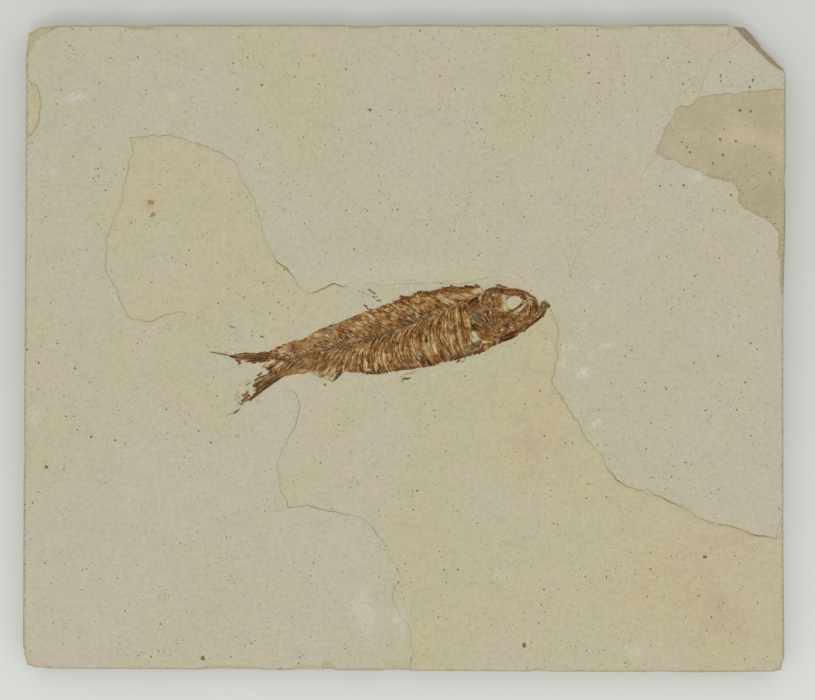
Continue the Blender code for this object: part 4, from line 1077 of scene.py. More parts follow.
rods = grow(fan, "GeometryNodeInstanceOnPoints", Points=rooted, Instance=rod, Rotation=turn_round,
            Scale=stretch)
rods = grow(fan, "GeometryNodeRealizeInstances", Geometry=rods)
share = stored(fan, "share")
swell = work(fan, "MULTIPLY", work(fan, "MULTIPLY", share, work(fan, "SUBTRACT", 1.0, share)), 4.0)
aside = work(fan, "MULTIPLY", swell, stored(fan, "bow"))
heading = stored(fan, "heading")
backward = work(fan, "MULTIPLY", work(fan, "SINE", heading), -1.0)
shift = grow(fan, "ShaderNodeCombineXYZ", X=work(fan, "MULTIPLY", aside, backward),
             Y=work(fan, "MULTIPLY", aside, work(fan, "COSINE", heading)))
rods = grow(fan, "GeometryNodeSetPosition", Geometry=rods, Offset=shift)
rods = grow(fan, "GeometryNodeSetShadeSmooth", Geometry=rods)
feed(fan, result["Geometry"], grow(fan, "GeometryNodeSetMaterial", Geometry=rods, Material=given["Finish"]))


def grown(name, roots, numbers, tree, finish, lift, joined=False, **sizes):
    """What a geometry tree grows on roots in the plan, in millimetres, laid on the stone as a plain mesh."""
    base = bpy.data.meshes.new(name)
    edges = [(step, step + 1) for step in range(len(roots) - 1)] if joined else []
    base.from_pydata(np.column_stack([roots, np.zeros(len(roots))]), edges, [])
    for label, values in numbers.items():
        base.attributes.new(label, "FLOAT", "POINT").data.foreach_set("value", np.asarray(values, np.float32))
    made = bpy.data.objects.new(name, base)
    bpy.context.scene.collection.objects.link(made)
    modifier = made.modifiers.new(name, "NODES")
    modifier.node_group = tree
    sizes["Finish"] = finish
    for item in tree.interface.items_tree:
        if item.in_out == "INPUT" and item.name.replace(" ", "_") in sizes:
            modifier[item.identifier] = sizes[item.name.replace(" ", "_")]
    plain = bpy.data.meshes.new_from_object(made.evaluated_get(bpy.context.evaluated_depsgraph_get()))
    made.modifiers.clear()
    made.data = plain
    bpy.data.meshes.remove(base)
    places = np.empty(len(plain.vertices) * 3)
    plain.vertices.foreach_get("co", places)
    places = places.reshape(-1, 3)
    places[:, 2] += ground_height(places[:, :2]) + lift
    plain.vertices.foreach_set("co", (places * MM).ravel())
    plain.update()
    return made


bone, tree, shader, place = new_material("dark_bone", 0.6, 0.12)
grain_value = crumbs(tree, place, 0.6)
tone = add(tree, 0.14, scaled(tree, field(tree, "shade"), 0.12), scaled(tree, grain_value, 0.1),
           level(tree, field(tree, "share"), 0.0, 1.0, 0.0, 0.12))
feed(tree, shader.inputs["Base Color"], use(tree, fossil_tones, Tone=tone, Rusty=0.25)["Color"])
feed(tree, shader.inputs["Roughness"], level(tree, grain_value, -1.0, 1.0, 0.4, 0.65))
bumped(tree, shader, 0.3, 0.00005, grain_value)


def bone_family(first, last, pitch, below, start, end, wander=0.04):
    """Roots, headings, reaches and bows of the bones along a stretch of the backbone."""
    first, last = column(first), column(last)
    roots = FIRST_RIB + np.arange(math.ceil((first - FIRST_RIB) / pitch), (last - FIRST_RIB) / pitch) * pitch
    roots = roots + rough.uniform(-wander, wander, len(roots)) * pitch
    depth, lean, bow = bone_shape(roots, np.full(len(roots), below))
    down = -1 if below else 1
    at_start = np.column_stack([roots + lean * depth * start, backbone_at(roots) + down * depth * start])
    at_end = np.column_stack([roots + lean * depth * end, backbone_at(roots) + down * depth * end])
    run = at_end - at_start
    return at_start, {"heading": np.arctan2(run[:, 1], run[:, 0]), "reach": np.hypot(*run.T),
                      "bow": bow * depth * -down * (end - start),
                      "girth": rough.uniform(0.8, 1.2, len(roots))}


fans = {
    "ribs": (bone_family(342, 465, BONE_PITCH, True, 0.03, 0.95), 0.27, 0.15),
    # rib_shadows: thin dark rods at half the rib spacing, painted shade beside the ribs.
    "rib_shadows": (bone_family(345, 465, BONE_PITCH / 2, True, 0.1, 0.7, 0.12), 0.18, 0.13),
    "tail_spines": (bone_family(284, 345, 0.95, True, 0.03, 0.85, 0.2), 0.22, 0.13),
    "back_spines": (bone_family(292, 474, 1.25, False, 0.03, 0.55, 0.2), 0.27, 0.13),
    "fine_back_bones": (bone_family(300, 478, 1.0, False, 0.4, 0.95, 0.3), 0.2, 0.12),
    "near_back_bones": (bone_family(330, 470, 0.9, False, 0.02, 0.28, 0.3), 0.26, 0.14),
}
for number, (name, ((roots, numbers), width, lift)) in enumerate(fans.items()):
    piece = grown(name, roots, numbers, fan, bone, lift, Bone_Width=width, Seed=10 * number, Unevenness=0.1)
    dress(piece, "body_bone", "trunk")

# ---------------------------------------------------------------- trunk: backbone and scutes
# The backbone is a row of small spool-shaped vertebrae, greyed by minerals. Short overlapping
# scutes, the keel of a herring, stand along the back behind the head and along the belly.
VERTEBRA_PITCH = 1.65
VERTEBRA_WIDTH = 0.7
SPOOL_HALF = 0.42
SPOOL_RINGS = 6
SPOOL_SIDES = 8

row, given, result = grow_tree("vertebra_row", {
    "Pitch": VERTEBRA_PITCH, "Bone Width": 0.8, "Flatness": 0.5, "Waist": 0.35, "Seed": 1})
line = grow(row, "GeometryNodeMeshToCurve", Mesh=given["Geometry"])
places = grow(row, "GeometryNodeCurveToPoints", mode="LENGTH", Curve=line, Length=given["Pitch"])
spool = grow(row, "GeometryNodeCurvePrimitiveLine", Start=(0.0, 0.0, -SPOOL_HALF),
             End=(0.0, 0.0, SPOOL_HALF))
spool = grow(row, "GeometryNodeResampleCurve", Curve=spool, Count=SPOOL_RINGS)
turn = work(row, "MULTIPLY", grow(row, "GeometryNodeSplineParameter").outputs["Factor"], math.pi)
waist = work(row, "SUBTRACT", 1.0, work(row, "MULTIPLY", work(row, "SINE", turn), given["Waist"]))
spool = grow(row, "GeometryNodeSetCurveRadius", Curve=spool, Radius=waist)
section = grow(row, "GeometryNodeCurvePrimitiveCircle", Resolution=SPOOL_SIDES, Radius=0.5)
spool = grow(row, "GeometryNodeCurveToMesh", Curve=spool, Profile_Curve=section, Fill_Caps=True)
shade = grow(row, "GeometryNodeStoreNamedAttribute", data_type="FLOAT", Geometry=places.outputs["Points"],
             Name="shade", Value=chance_between(row, -1.0, 1.0, given["Seed"]))
wide = work(row, "MULTIPLY", given["Bone Width"], chance_between(row, 0.85, 1.15, given["Seed"]))
stretch = grow(row, "ShaderNodeCombineXYZ", X=wide, Y=wide, Z=given["Pitch"])
bones = grow(row, "GeometryNodeInstanceOnPoints", Points=shade, Instance=spool,
             Rotation=places.outputs["Rotation"], Scale=stretch)
bones = grow(row, "GeometryNodeRealizeInstances", Geometry=bones)
flatten = grow(row, "ShaderNodeVectorMath", operation="MULTIPLY")
feed(row, flatten.inputs[0], grow(row, "GeometryNodeInputPosition"))
feed(row, flatten.inputs[1], grow(row, "ShaderNodeCombineXYZ", X=1.0, Y=1.0, Z=given["Flatness"]))
bones = grow(row, "GeometryNodeSetPosition", Geometry=bones, Position=flatten)
bones = grow(row, "GeometryNodeSetShadeSmooth", Geometry=bones)
feed(row, result["Geometry"], grow(row, "GeometryNodeSetMaterial", Geometry=bones, Material=given["Finish"]))

grey_bone, tree, shader, place = new_material("greyed_bone", 0.5, 0.25)
grain_value = crumbs(tree, place, 0.7)
grey_part = level(tree, noise(tree, place, 4.0, 2.0), 0.45, 0.6, 0.0, 1.0)
tone = add(tree, 0.26, scaled(tree, field(tree, "shade"), 0.12), scaled(tree, grain_value, 0.2))
feed(tree, shader.inputs["Base Color"], use(tree, fossil_tones, Tone=tone, Grey=grey_part)["Color"])
bumped(tree, shader, 0.3, 0.00005, grain_value)

scute_bone, tree, shader, place = new_material("scute_bone", 0.6, 0.12)
grain_value = crumbs(tree, place, 0.8)
tone = add(tree, 0.2, scaled(tree, field(tree, "shade"), 0.2), scaled(tree, grain_value, 0.16))
feed(tree, shader.inputs["Base Color"], use(tree, fossil_tones, Tone=tone, Rusty=0.55)["Color"])
bumped(tree, shader, 0.3, 0.00005, grain_value)


EDGE_WANDER, EDGE_TURN = 0.2, 0.1
EDGE_REACHES, EDGE_GIRTHS = (0.6, 1.2), (0.6, 1.3)


def laid(name, roots, numbers, tree, finish, lift, node, slot, **sizes):
    """Grown bones that ride the slab and stand for a solid."""
    piece = grown(name, roots, numbers, tree, finish, lift, **sizes)
    dress(piece, slot, node)


def edge_bones(points, first, last, pitch, turn, reach, bow, girth):
    """Short bones along a drawn edge, each turned from its course by an angle."""
    line = drawn(points)
    places = np.arange(column(first), column(last), pitch)
    places = places + rough.uniform(-EDGE_WANDER, EDGE_WANDER, len(places)) * pitch
    heights = np.interp(places, line[:, 0], line[:, 1])
    rise = np.interp(places + 1, line[:, 0], line[:, 1]) - np.interp(places - 1, line[:, 0], line[:, 1])
    count = len(places)
    return np.column_stack([places, heights]), {
        "heading": np.arctan2(rise, 2.0) + turn + rough.normal(0, EDGE_TURN, count),
        "reach": reach * rough.uniform(*EDGE_REACHES, count), "bow": bow * np.ones(count),
        "girth": girth * rough.uniform(*EDGE_GIRTHS, count)}


def resampled(points, step):
    """A line of the plan with points a step apart."""
    places = np.arange(0, along(points)[-1], step)
    return np.column_stack([np.interp(places, along(points), points[:, axis]) for axis in (0, 1)])


backbone_line = resampled(drawn(BACKBONE), 1.2)
backbone_line = backbone_line[backbone_line[:, 0] < column(BARE_TO)]
laid("vertebrae", backbone_line, {}, row, grey_bone, 0.1, "trunk", "body_bone",
     Pitch=VERTEBRA_PITCH, Bone_Width=VERTEBRA_WIDTH, Flatness=0.45, joined=True)
laid("back_scutes", *edge_bones(BACK, 400, 482, 1.0, math.pi - 0.12, 2.2, 0.1, 1.0), fan, scute_bone, 0.15,
     "back_spine", "body_bone", Bone_Width=0.7, Seed=61)
laid("back_fringe", *edge_bones(BACK, 372, 480, 0.9, math.pi + 0.6, 1.5, 0.0, 0.8), fan, scute_bone, 0.12,
     "trunk", "body_bone", Bone_Width=0.32, Seed=62)
laid("belly_scutes", *edge_bones(BELLY, 352, 436, 1.2, math.pi - 0.4, 1.6, -0.1, 1.0), fan, bone, 0.16,
     "trunk", "body_bone", Bone_Width=0.4, Seed=63)
laid("keel_scutes", *edge_bones(BELLY, 434, 482, 1.5, 0.35, 2.0, 0.1, 1.0), fan, bone, 0.16, "trunk",
     "body_bone", Bone_Width=0.6, Seed=65)

# ---------------------------------------------------------------- head: the crushed skull
# The skull, the gill cover and the lower jaw are crushed thin plates of brown bone that lie over
# each other. The eye socket is open, and the stone shows through it.
SKULL = [
    (480, 300), (482, 295.4), (485, 290.6), (489, 288.4), (494, 287), (500, 287.6), (505, 289),
    (510, 288.6), (517, 289), (525, 291), (528.6, 292.4), (531.6, 295), (534.6, 296.8), (536.8, 299),
    (538, 303), (539.4, 305.6), (541, 309), (540.5, 313), (537, 318), (532, 322), (524, 325), (514, 328),
    (505, 329), (497, 326), (492, 321), (486, 316), (480, 312), (476, 306),
]
EYE = [
    (505.8, 301.4), (508, 298.2), (511, 296.4), (515, 295.2), (519, 296), (521, 298.4), (522.4, 301),
    (521, 303.2), (518.6, 305.6), (515.6, 307.6), (512.6, 309.2), (510, 309.2), (508.4, 307),
    (506.6, 304.4),
]
GILL_COVER = [
    (467.4, 303), (471, 299), (475, 296.4), (478.4, 294.8), (479.6, 297.4), (482, 300), (492, 308),
    (498, 316), (502, 325), (501, 332), (499, 336), (497.8, 338.4), (495, 340.6), (489, 341), (483, 340.4),
    (480, 338.4), (477.4, 336), (476, 332.4), (471, 330.6), (470, 325), (468, 315), (466, 307),
]
LOWER_JAW = [
    (540.6, 305), (541.6, 302.6), (544, 301.6), (546.6, 302.6), (548.4, 304.8), (550.4, 306.8),
    (547, 308.4), (546, 310), (545, 313), (543.6, 316.4), (540, 319), (536, 322.4), (533, 325),
    (530, 325.8), (527, 329), (524.6, 332), (522, 331.6), (519, 333.6), (516, 336.6), (512, 339.4),
    (506, 341.4), (500, 343.4), (498.4, 341), (498.6, 336), (502, 331), (510, 327.4), (519, 324),
    (528, 319), (535, 313), (539, 309),
]
PLATE_THICK = 0.1
DARK_HEAD = [
    (526.4, 298, 0.8, 0.4, -0.6, 0.8), (531, 301.2, 0.7, 0.4, 0.4, 0.9), (529, 303.6, 0.5, 0.4, 0.0, 0.7),
    (534.4, 303, 0.4, 0.8, 0.0, 0.8), (496, 324, 2.4, 1.0, 0.3, 0.4), (512, 318, 2.0, 0.8, 0.2, 0.4),
    (474, 301, 2.2, 1.9, 0.5, 0.9), (487.6, 313.4, 0.6, 1.0, 0.0, 1.0), (475, 326.4, 1.5, 1.5, 0.0, 1.0),
    (506, 336.6, 3.4, 1.4, 0.45, 1.0), (544.6, 303.2, 1.3, 0.7, 0.0, 1.0), (515, 332, 2.0, 0.7, 0.5, 0.9),
    (502, 339, 1.6, 0.9, 0.2, 0.9), (536, 310, 0.7, 2.0, -0.3, 0.6), (483, 329, 2.2, 0.9, 0.1, 0.5),
    (490, 318, 2.0, 1.6, 0.0, 0.4), (506, 316.4, 1.6, 0.8, 0.0, 0.5), (527, 318, 2.4, 0.8, 0.6, 0.4),
    (500, 288.6, 4.6, 0.5, 0.0, 0.7), (518, 291, 3.4, 0.6, -0.1, 0.6), (538.4, 307, 0.5, 2.0, -0.3, 0.7),
    (503, 291.6, 0.9, 0.8, 0.0, 0.9), (506, 330.4, 1.2, 0.9, 0.0, 0.7), (524, 297.6, 0.9, 0.5, -0.6, 0.6),
    (497, 305.4, 1.0, 0.5, 0.4, 0.6), (527.6, 327, 1.4, 0.5, 0.8, 0.6), (533.6, 309, 0.4, 1.8, -0.1, 0.6),
]
GREY_HEAD = [
    (474, 315, 1.8, 2.4, -0.5, 0.9), (480, 320, 2.4, 1.3, -0.6, 0.6), (495, 293, 2.6, 0.9, -0.1, 0.9),
    (507, 321, 3.0, 2.0, 0.0, 0.35), (483, 309, 2.2, 1.2, 0.0, 0.5), (520, 320, 3.0, 1.4, 0.4, 0.4),
    (536.8, 303, 0.5, 1.4, -0.3, 0.7), (512, 293.6, 3.0, 0.5, 0.0, 0.4), (492, 300, 3.0, 1.4, 0.0, 0.3),
]
PALE_HEAD = [
    (521.6, 309, 2.8, 0.9, 0.8, 1.0), (528, 300.6, 1.5, 1.0, -0.5, 0.9), (532, 304, 0.7, 1.2, 0.0, 0.8),
    (504.4, 301, 1.2, 2.6, 0.1, 1.0), (505.8, 308.4, 1.6, 1.6, 0.3, 1.0),
    (507.6, 296.2, 1.6, 0.8, 0.5, 0.9), (502.6, 297, 0.6, 0.8, 0.0, 0.8), (518, 310.4, 2.6, 0.7, 0.7, 0.9),
    (524.4, 306.4, 0.8, 1.8, -0.5, 0.9), (530.6, 299, 1.4, 0.9, -0.4, 0.8),
    (511.4, 326.4, 0.5, 0.4, 0.0, 0.9), (518, 322, 0.5, 0.4, 0.0, 0.8), (493.8, 294.4, 0.6, 0.35, 0.0, 1.0),
    (499.6, 293.6, 0.5, 0.25, 0.0, 0.8), (489.8, 313, 0.25, 0.6, 0.0, 0.9),
    (500, 286.6, 0.9, 0.3, -0.2, 0.9), (522, 299.4, 0.4, 1.0, 0.6, 0.7), (493, 308.4, 0.5, 0.35, 0.0, 0.6),
    (497, 304, 0.7, 0.25, 0.2, 0.6), (528, 313, 0.4, 1.0, 0.1, 0.8), (540.6, 310, 0.3, 0.8, -0.5, 0.5),
    (487.4, 308, 0.4, 0.5, 0.0, 0.6), (523.4, 302, 0.8, 0.5, 0.7, 0.6), (500.4, 308, 0.4, 0.8, 0.0, 0.6),
    (498, 340.6, 0.5, 0.8, 0.0, 0.8), (470, 316, 0.3, 0.3, 0.0, 0.8), (543.8, 305.4, 0.5, 0.4, 0.0, 0.6),
    (480.4, 298, 0.5, 1.0, 0.0, 0.9), (531.4, 304, 0.5, 1.0, 0.0, 0.5), (495, 339.6, 0.8, 0.3, 0.0, 0.7),
]
RUSTY_HEAD = [
    (487, 336.4, 3.4, 1.4, 0.0, 1.0), (496, 330.8, 1.0, 0.8, 0.0, 1.0), (500, 289, 5.0, 0.6, 0.0, 0.8),
    (520, 290.8, 3.4, 0.6, -0.1, 0.9), (532.4, 309, 1.2, 2.2, 0.1, 0.6), (476, 327, 1.2, 1.2, 0.0, 0.5),
    (500, 303, 1.6, 1.8, 0.0, 0.4), (534, 320, 3.0, 0.8, 0.75, 0.5), (544, 310, 0.8, 1.6, -0.4, 0.8),
    (504, 333.6, 3.0, 0.6, -0.1, 0.7), (499, 297, 1.4, 1.0, 0.0, 0.5), (540, 303.6, 0.8, 0.8, 0.0, 0.6),
    (495, 304, 2.4, 0.8, 0.1, 0.5), (524, 314, 1.6, 1.0, 0.3, 0.4),
]


def head_fields(plan):
    """Where the head's bone is dark, grey, pale or rusty."""
    return {"dark": blots(plan, DARK_HEAD), "grey": blots(plan, GREY_HEAD), "pale": blots(plan, PALE_HEAD),
            "rusty": blots(plan, RUSTY_HEAD)}


def plate_thickness(plan):
    """The crushed plates are lumpy."""
    return PLATE_THICK + 0.05 * cloud(plan, 1.6, 81, 3) + 0.03 * cloud(plan, 0.5, 82, 2)


head_bone, tree, shader, place = new_material("crushed_head_bone", 0.6, 0.12)
lump = level(tree, noise(tree, place, 1.5, 4.0, 0.6), 0.3, 0.7, -1.0, 1.0)
crumb = crumbs(tree, place, 0.6, 0.36, 0.64)
tone = add(tree, 0.39, scaled(tree, lump, 0.22), scaled(tree, crumb, 0.2))
olive = level(tree, noise(tree, place, 2.6, 3.0), 0.4, 0.6, 0.0, 0.3)
reddish = level(tree, noise(tree, place, 2.2, 3.0, 0.6), 0.6, 0.42, 0.0, 0.45)
greyish = work(tree, "MAXIMUM", field(tree, "grey"), olive)
reddish = work(tree, "MAXIMUM", field(tree, "rusty"), reddish)
colour = use(tree, fossil_tones, Tone=tone, Dark=field(tree, "dark"), Grey=greyish,
             Pale=field(tree, "pale"), Rusty=reddish)["Color"]
feed(tree, shader.inputs["Base Color"], colour)
feed(tree, shader.inputs["Roughness"], level(tree, crumb, -1.0, 1.0, 0.4, 0.7))
relief = add(tree, scaled(tree, lump, 0.5), scaled(tree, crumb, 0.5))
bumped(tree, shader, 0.6, 0.0001, relief)

PLATES = {"gill_plate": (GILL_COVER, [], 0.06, "gill_cover"), "skull_plate": (SKULL, [EYE], 0.12, "skull"),
          "jaw_plate": (LOWER_JAW, [], 0.05, "lower_jaw")}
for name, (outline, gaps, lift, node) in PLATES.items():
    plate = film(name, [outline], gaps, plate_thickness, head_fields, lift)
    dress(plate, "head_bone", node, finish=head_bone)

# ---------------------------------------------------------------- head: its thin bones
# Over the crushed plates lie the thin bones that kept their shape: the roof of the skull, the bar
# under the eye, the snout, the jaws, the edge of the cheek and the shoulder bone behind the gills.
STRIP_STEP = 0.22
STRIP_SUNK = 0.06
STRIP_CROWN = 0.35
BLUNT_END = 0.04
# The finish of each sort of strip: its tone, and how rusty, grey and pale it is.
STRIP_SORTS = {"dark": (0.02, 0.1, 0.0, 0.0), "brown": (0.3, 0.2, 0.0, 0.0), "red": (0.28, 0.8, 0.0, 0.0),
               "orange": (0.6, 0.9, 0.0, 0.0), "grey": (0.45, 0.0, 1.0, 0.0), "cream": (0.8, 0.0, 0.0, 1.0),
               "tan": (0.85, 0.1, 0.0, 0.2)}
# Each strip's sort, its width in mm and its course.
HEAD_STRIPS = [
    ("red", 0.5, [(485.4, 290.6), (490, 288.8), (495, 287.8), (500, 288.4), (505, 290)]),
    ("red", 0.5, [(505, 289.6), (510, 289.2), (517, 289.6), (523, 291), (528, 292.8)]),
    ("red", 0.55, [(495.4, 285), (498.4, 284.8), (501.6, 286.4), (507.6, 287.8)]),
    ("brown", 0.4, [(488, 290.4), (496, 289.8), (503, 291.8)]),
    ("dark", 0.5, [(500, 289.4), (502.6, 291.6), (504, 292.4)]),
    ("brown", 0.5, [(503.4, 293.6), (509, 295), (514, 293.6), (519, 293.2), (522.6, 295)]),
    ("brown", 0.5, [(521, 293), (524.4, 295.6), (523.6, 298.6)]),
    ("grey", 0.4, [(490.6, 292.4), (494, 291.6), (498, 292.6), (502, 294.6)]),
    ("dark", 0.35, [(493, 291.4), (495.6, 292.6)]),
    ("brown", 0.45, [(485.6, 291.6), (483, 296.4), (481.8, 300.6)]),
    ("brown", 0.34, [(510.6, 310.2), (513.4, 310.8), (516.4, 308.6), (519.6, 306.4), (523.4, 303.4)]),
    ("brown", 0.24, [(524, 304.4), (527, 301.4), (529.6, 299)]),
    ("cream", 0.34, [(515.4, 311.6), (519.4, 309.6), (523, 306), (526, 302.8)]),
    ("dark", 0.3, [(516.6, 312.8), (521, 311.6), (523.6, 308.6), (527, 303.8)]),
    ("brown", 0.35, [(521, 313.4), (525.6, 308.6), (529.4, 303.4)]),
    ("tan", 0.4, [(526.4, 296), (529.4, 297.4), (531, 300)]),
    ("dark", 0.4, [(522.6, 296.4), (525.6, 299), (528.6, 300.8)]),
    ("dark", 0.35, [(529.4, 299.4), (532, 299.6), (534.4, 301.4)]),
    ("brown", 0.4, [(531.4, 303.2), (534.6, 303.4), (537, 306.4)]),
    ("brown", 0.45, [(528.6, 294.6), (531.6, 296.8), (534.4, 297), (536, 299.4)]),
    ("grey", 0.55, [(535.6, 299.6), (537.2, 304), (539.4, 309.6), (538, 314)]),
    ("dark", 0.35, [(534, 301), (535.8, 305.6), (536.6, 311), (534.4, 316)]),
    ("brown", 0.4, [(532.2, 302.6), (533, 308.6), (530.6, 314)]),
    ("dark", 0.3, [(530.4, 305), (530.6, 309.6), (528.4, 315)]),
    ("tan", 0.3, [(529.6, 303.4), (529, 308)]),
    ("tan", 0.3, [(537.4, 311.6), (535.4, 314.6), (532.6, 317)]),
    ("grey", 0.75, [(541, 304.2), (542, 302.4), (544.6, 302), (547, 303.4), (547.6, 305.6)]),
    ("dark", 0.3, [(547.6, 305), (550.6, 306.6)]),
    ("brown", 0.3, [(548.8, 303.2), (549.6, 306)]),
    ("brown", 0.45, [(541.3, 307), (542.4, 311), (539.6, 316)]),
    ("red", 0.5, [(546.2, 307.6), (544.8, 312.4), (541.6, 317)]),
    ("tan", 0.3, [(543, 309.4), (540.4, 313.4), (536.4, 318.2)]),
    ("dark", 0.35, [(543.8, 313.6), (538.6, 318.6), (532, 322.6)]),
    ("red", 0.3, [(541, 318), (535, 322), (531.4, 325)]),
    ("dark", 0.45, [(531.6, 323.4), (527.6, 327.4), (524, 330)]),
    ("dark", 0.55, [(518.6, 330.6), (512, 332.8), (505, 336.4)]),
    ("brown", 0.3, [(517.6, 333), (511, 336), (503, 339.6)]),
    ("dark", 0.6, [(515.6, 335.6), (508.5, 339), (500, 341)]),
    ("red", 0.35, [(498.6, 332.4), (503.6, 333.6), (509, 334)]),
    ("brown", 0.3, [(500, 312.6), (506, 315.8), (513, 314.4), (519, 316)]),
    ("brown", 0.3, [(530, 316.6), (523, 320.4), (514, 323)]),
    ("dark", 0.3, [(494.2, 304), (492.6, 311), (492.6, 318), (495, 324)]),
    ("dark", 0.55, [(487.4, 311), (487.8, 315.2)]),
    ("cream", 0.25, [(489.8, 311), (490.1, 314.6)]),
    ("grey", 0.8, [(467.6, 306), (469.2, 312.4), (473.4, 317), (480, 321), (485, 324.4)]),
    ("tan", 0.2, [(470.2, 317), (474, 321), (481, 326)]),
    ("grey", 0.5, [(473.8, 309.6), (477.5, 315.6), (483.4, 320)]),
    ("dark", 0.25, [(480, 317.6), (483.4, 322)]),
    ("tan", 0.18, [(481.6, 316.6), (486, 322)]),
    ("dark", 0.25, [(483.4, 316), (489, 323.4)]),
    ("tan", 0.18, [(485, 315.4), (490.6, 322.6)]),
    ("dark", 0.6, [(468.6, 304), (472.4, 300.6), (477, 297.2)]),
    ("brown", 0.5, [(471, 307), (476, 303.6), (480, 302.6)]),
    ("dark", 0.5, [(471, 323), (474.4, 328.4), (480, 331.4)]),
    ("red", 0.35, [(475.6, 322.6), (481, 327.4), (489.4, 329)]),
    ("brown", 0.3, [(482, 334.6), (486, 336.6), (491, 336)]),
    ("cream", 0.2, [(492.6, 333.2), (495.4, 335)]),
]


def strips(name, courses, lift):
    """Thin bones as closed, flattened, tapered strips on the stone, each along a drawn course."""
    made_points, made_faces, numbers = [], [], {"shade": [], "rusty": [], "grey": [], "pale": []}
    count = 0
    for sort, width, course in courses:
        line = resampled(drawn(course), STRIP_STEP)
        line = line if len(line) > 3 else drawn(np.linspace(course[0], course[-1], 4))
        for _ in range(3):
            line[1:-1] = (line[:-2] + 2 * line[1:-1] + line[2:]) / 4
        share = np.linspace(0, 1, len(line))
        half = width / 2 * np.sin(math.pi * np.clip(share, BLUNT_END, 1 - BLUNT_END)) ** 0.45
        half *= 1 + 0.3 * cloud(line, 0.7, 91, 2)
        run = np.gradient(line, axis=0)
        side = np.column_stack([-run[:, 1], run[:, 0]]) / np.hypot(*run.T)[:, None] * half[:, None]
        stone = ground_height(line) + lift
        crown = STRIP_CROWN * half
        ring = np.stack([
            np.column_stack([line + side, stone]), np.column_stack([line, stone - STRIP_SUNK]),
            np.column_stack([line - side, stone]), np.column_stack([line, stone + crown])], axis=1)
        made_points.append(ring.reshape(-1, 3))
        for step in range(len(line) - 1):
            near, far = count + 4 * step, count + 4 * step + 4
            made_faces += [(near + i, far + i, far + (i + 1) % 4, near + (i + 1) % 4) for i in range(4)]
        last = count + 4 * (len(line) - 1)
        made_faces += [(count, count + 1, count + 2, count + 3), (last + 3, last + 2, last + 1, last)]
        for label, value in zip(("shade", "rusty", "grey", "pale"), STRIP_SORTS[sort]):
            numbers[label] += [value] * 4 * len(line)
        count += 4 * len(line)
    return mesh_object(name, np.vstack(made_points), made_faces, numbers)


strip_bone, tree, shader, place = new_material("strip_bone", 0.6, 0.12)
crumb = crumbs(tree, place, 0.5)
tone = add(tree, field(tree, "shade"), scaled(tree, crumb, 0.16))
colour = use(tree, fossil_tones, Tone=tone, Grey=field(tree, "grey"), Pale=field(tree, "pale"),
             Rusty=field(tree, "rusty"))["Color"]
feed(tree, shader.inputs["Base Color"], colour)
feed(tree, shader.inputs["Roughness"], level(tree, crumb, -1.0, 1.0, 0.35, 0.6))
bumped(tree, shader, 0.4, 0.00006, crumb)
head_strips = strips("head_bones", HEAD_STRIPS, 0.3)
dress(head_strips, "head_bone", "skull", "gill_cover", "lower_jaw", finish=strip_bone)

# ---------------------------------------------------------------- fins
# The fins are fans of fine jointed rays in a film of dark skin. The tail is torn, the anal fin is
# folded back, the pectoral fin is a lobe behind the gills, and only scraps are left of the others.
PECTORAL = [
    (480.6, 339.6), (481.4, 342), (480.6, 346), (479.4, 349.6), (475, 351.6), (468, 352.8), (461, 353.6),
    (464, 349.6), (469, 346), (474, 342.6), (477.6, 340.4),
]
TAIL_UPPER = [
    (276, 350.4), (270, 351.6), (260, 351.8), (250, 352.6), (245, 352.2), (240, 353), (235, 353.2),
    (234.4, 354.8), (228.6, 355), (230, 357.8), (235, 358.6), (235.8, 360.8), (238, 362.8), (238.6, 364.4),
    (241.4, 363.6), (239.8, 360.8), (245.4, 359.8), (249, 359.4), (252, 363.4), (256.4, 363.8),
    (255.6, 361.6), (261.4, 363), (267, 361), (268, 363), (272, 359.6), (276, 356),
]
TAIL_LOWER = [
    (290, 366), (284, 367), (280, 369.4), (275, 368.6), (270.6, 369.4), (268, 372.6), (262, 375.8),
    (257, 378.4), (254, 380.4), (256, 381.8), (252.6, 384.8), (252.6, 387), (255.4, 387), (256, 389.4),
    (259, 389), (254, 394), (250, 397.6), (248.6, 401), (251, 400.6), (260, 393.4), (268, 386.2),
    (276, 380.2), (283, 375.8), (290, 374.6),
]
TAIL_PATCH = [
    (240, 404.8), (241.4, 402.6), (241.2, 400), (244.4, 397.6), (241.6, 395.6), (244.6, 393.2),
    (247, 391.2), (249, 390), (248.2, 393.4), (251, 395.6), (247.8, 397.6), (249.2, 399.8), (245, 401.8),
    (241.6, 405),
]
ANAL_FIN = [
    (350, 359), (351, 361), (347, 367), (342, 373.4), (338, 378), (334.6, 381.6), (331.4, 381.4),
    (327, 380), (323.4, 377.6), (318, 376.4), (312, 374.6), (318, 371), (330, 364), (342, 360),
]
TAIL_GAPS = [
    [(243, 357.8), (245.6, 357.2), (246.4, 358), (244, 358.8)],
]
DARK_FINS = [
    (259, 358.6, 3.8, 0.9, -0.05, 0.9), (273.6, 373, 1.4, 1.6, 0.3, 1.0), (343, 369.4, 5.0, 0.6, 0.95, 1.0),
    (264, 384, 4.4, 1.0, 0.65, 0.4), (260, 353, 3.4, 0.5, 0.0, 0.6), (252, 397, 3.4, 0.5, 0.75, 0.8),
]
GREY_FINS = [
    (258, 356, 5, 1.5, 0.0, 0.9), (250, 355, 3.6, 0.8, 0.0, 0.5), (276, 372, 1.0, 0.8, 0.5, 0.8),
    (470, 347, 3.4, 1.4, 0.4, 0.9), (262, 380, 3.0, 0.9, 0.65, 0.4), (258, 358, 2.0, 0.6, 0.0, 0.7),
]
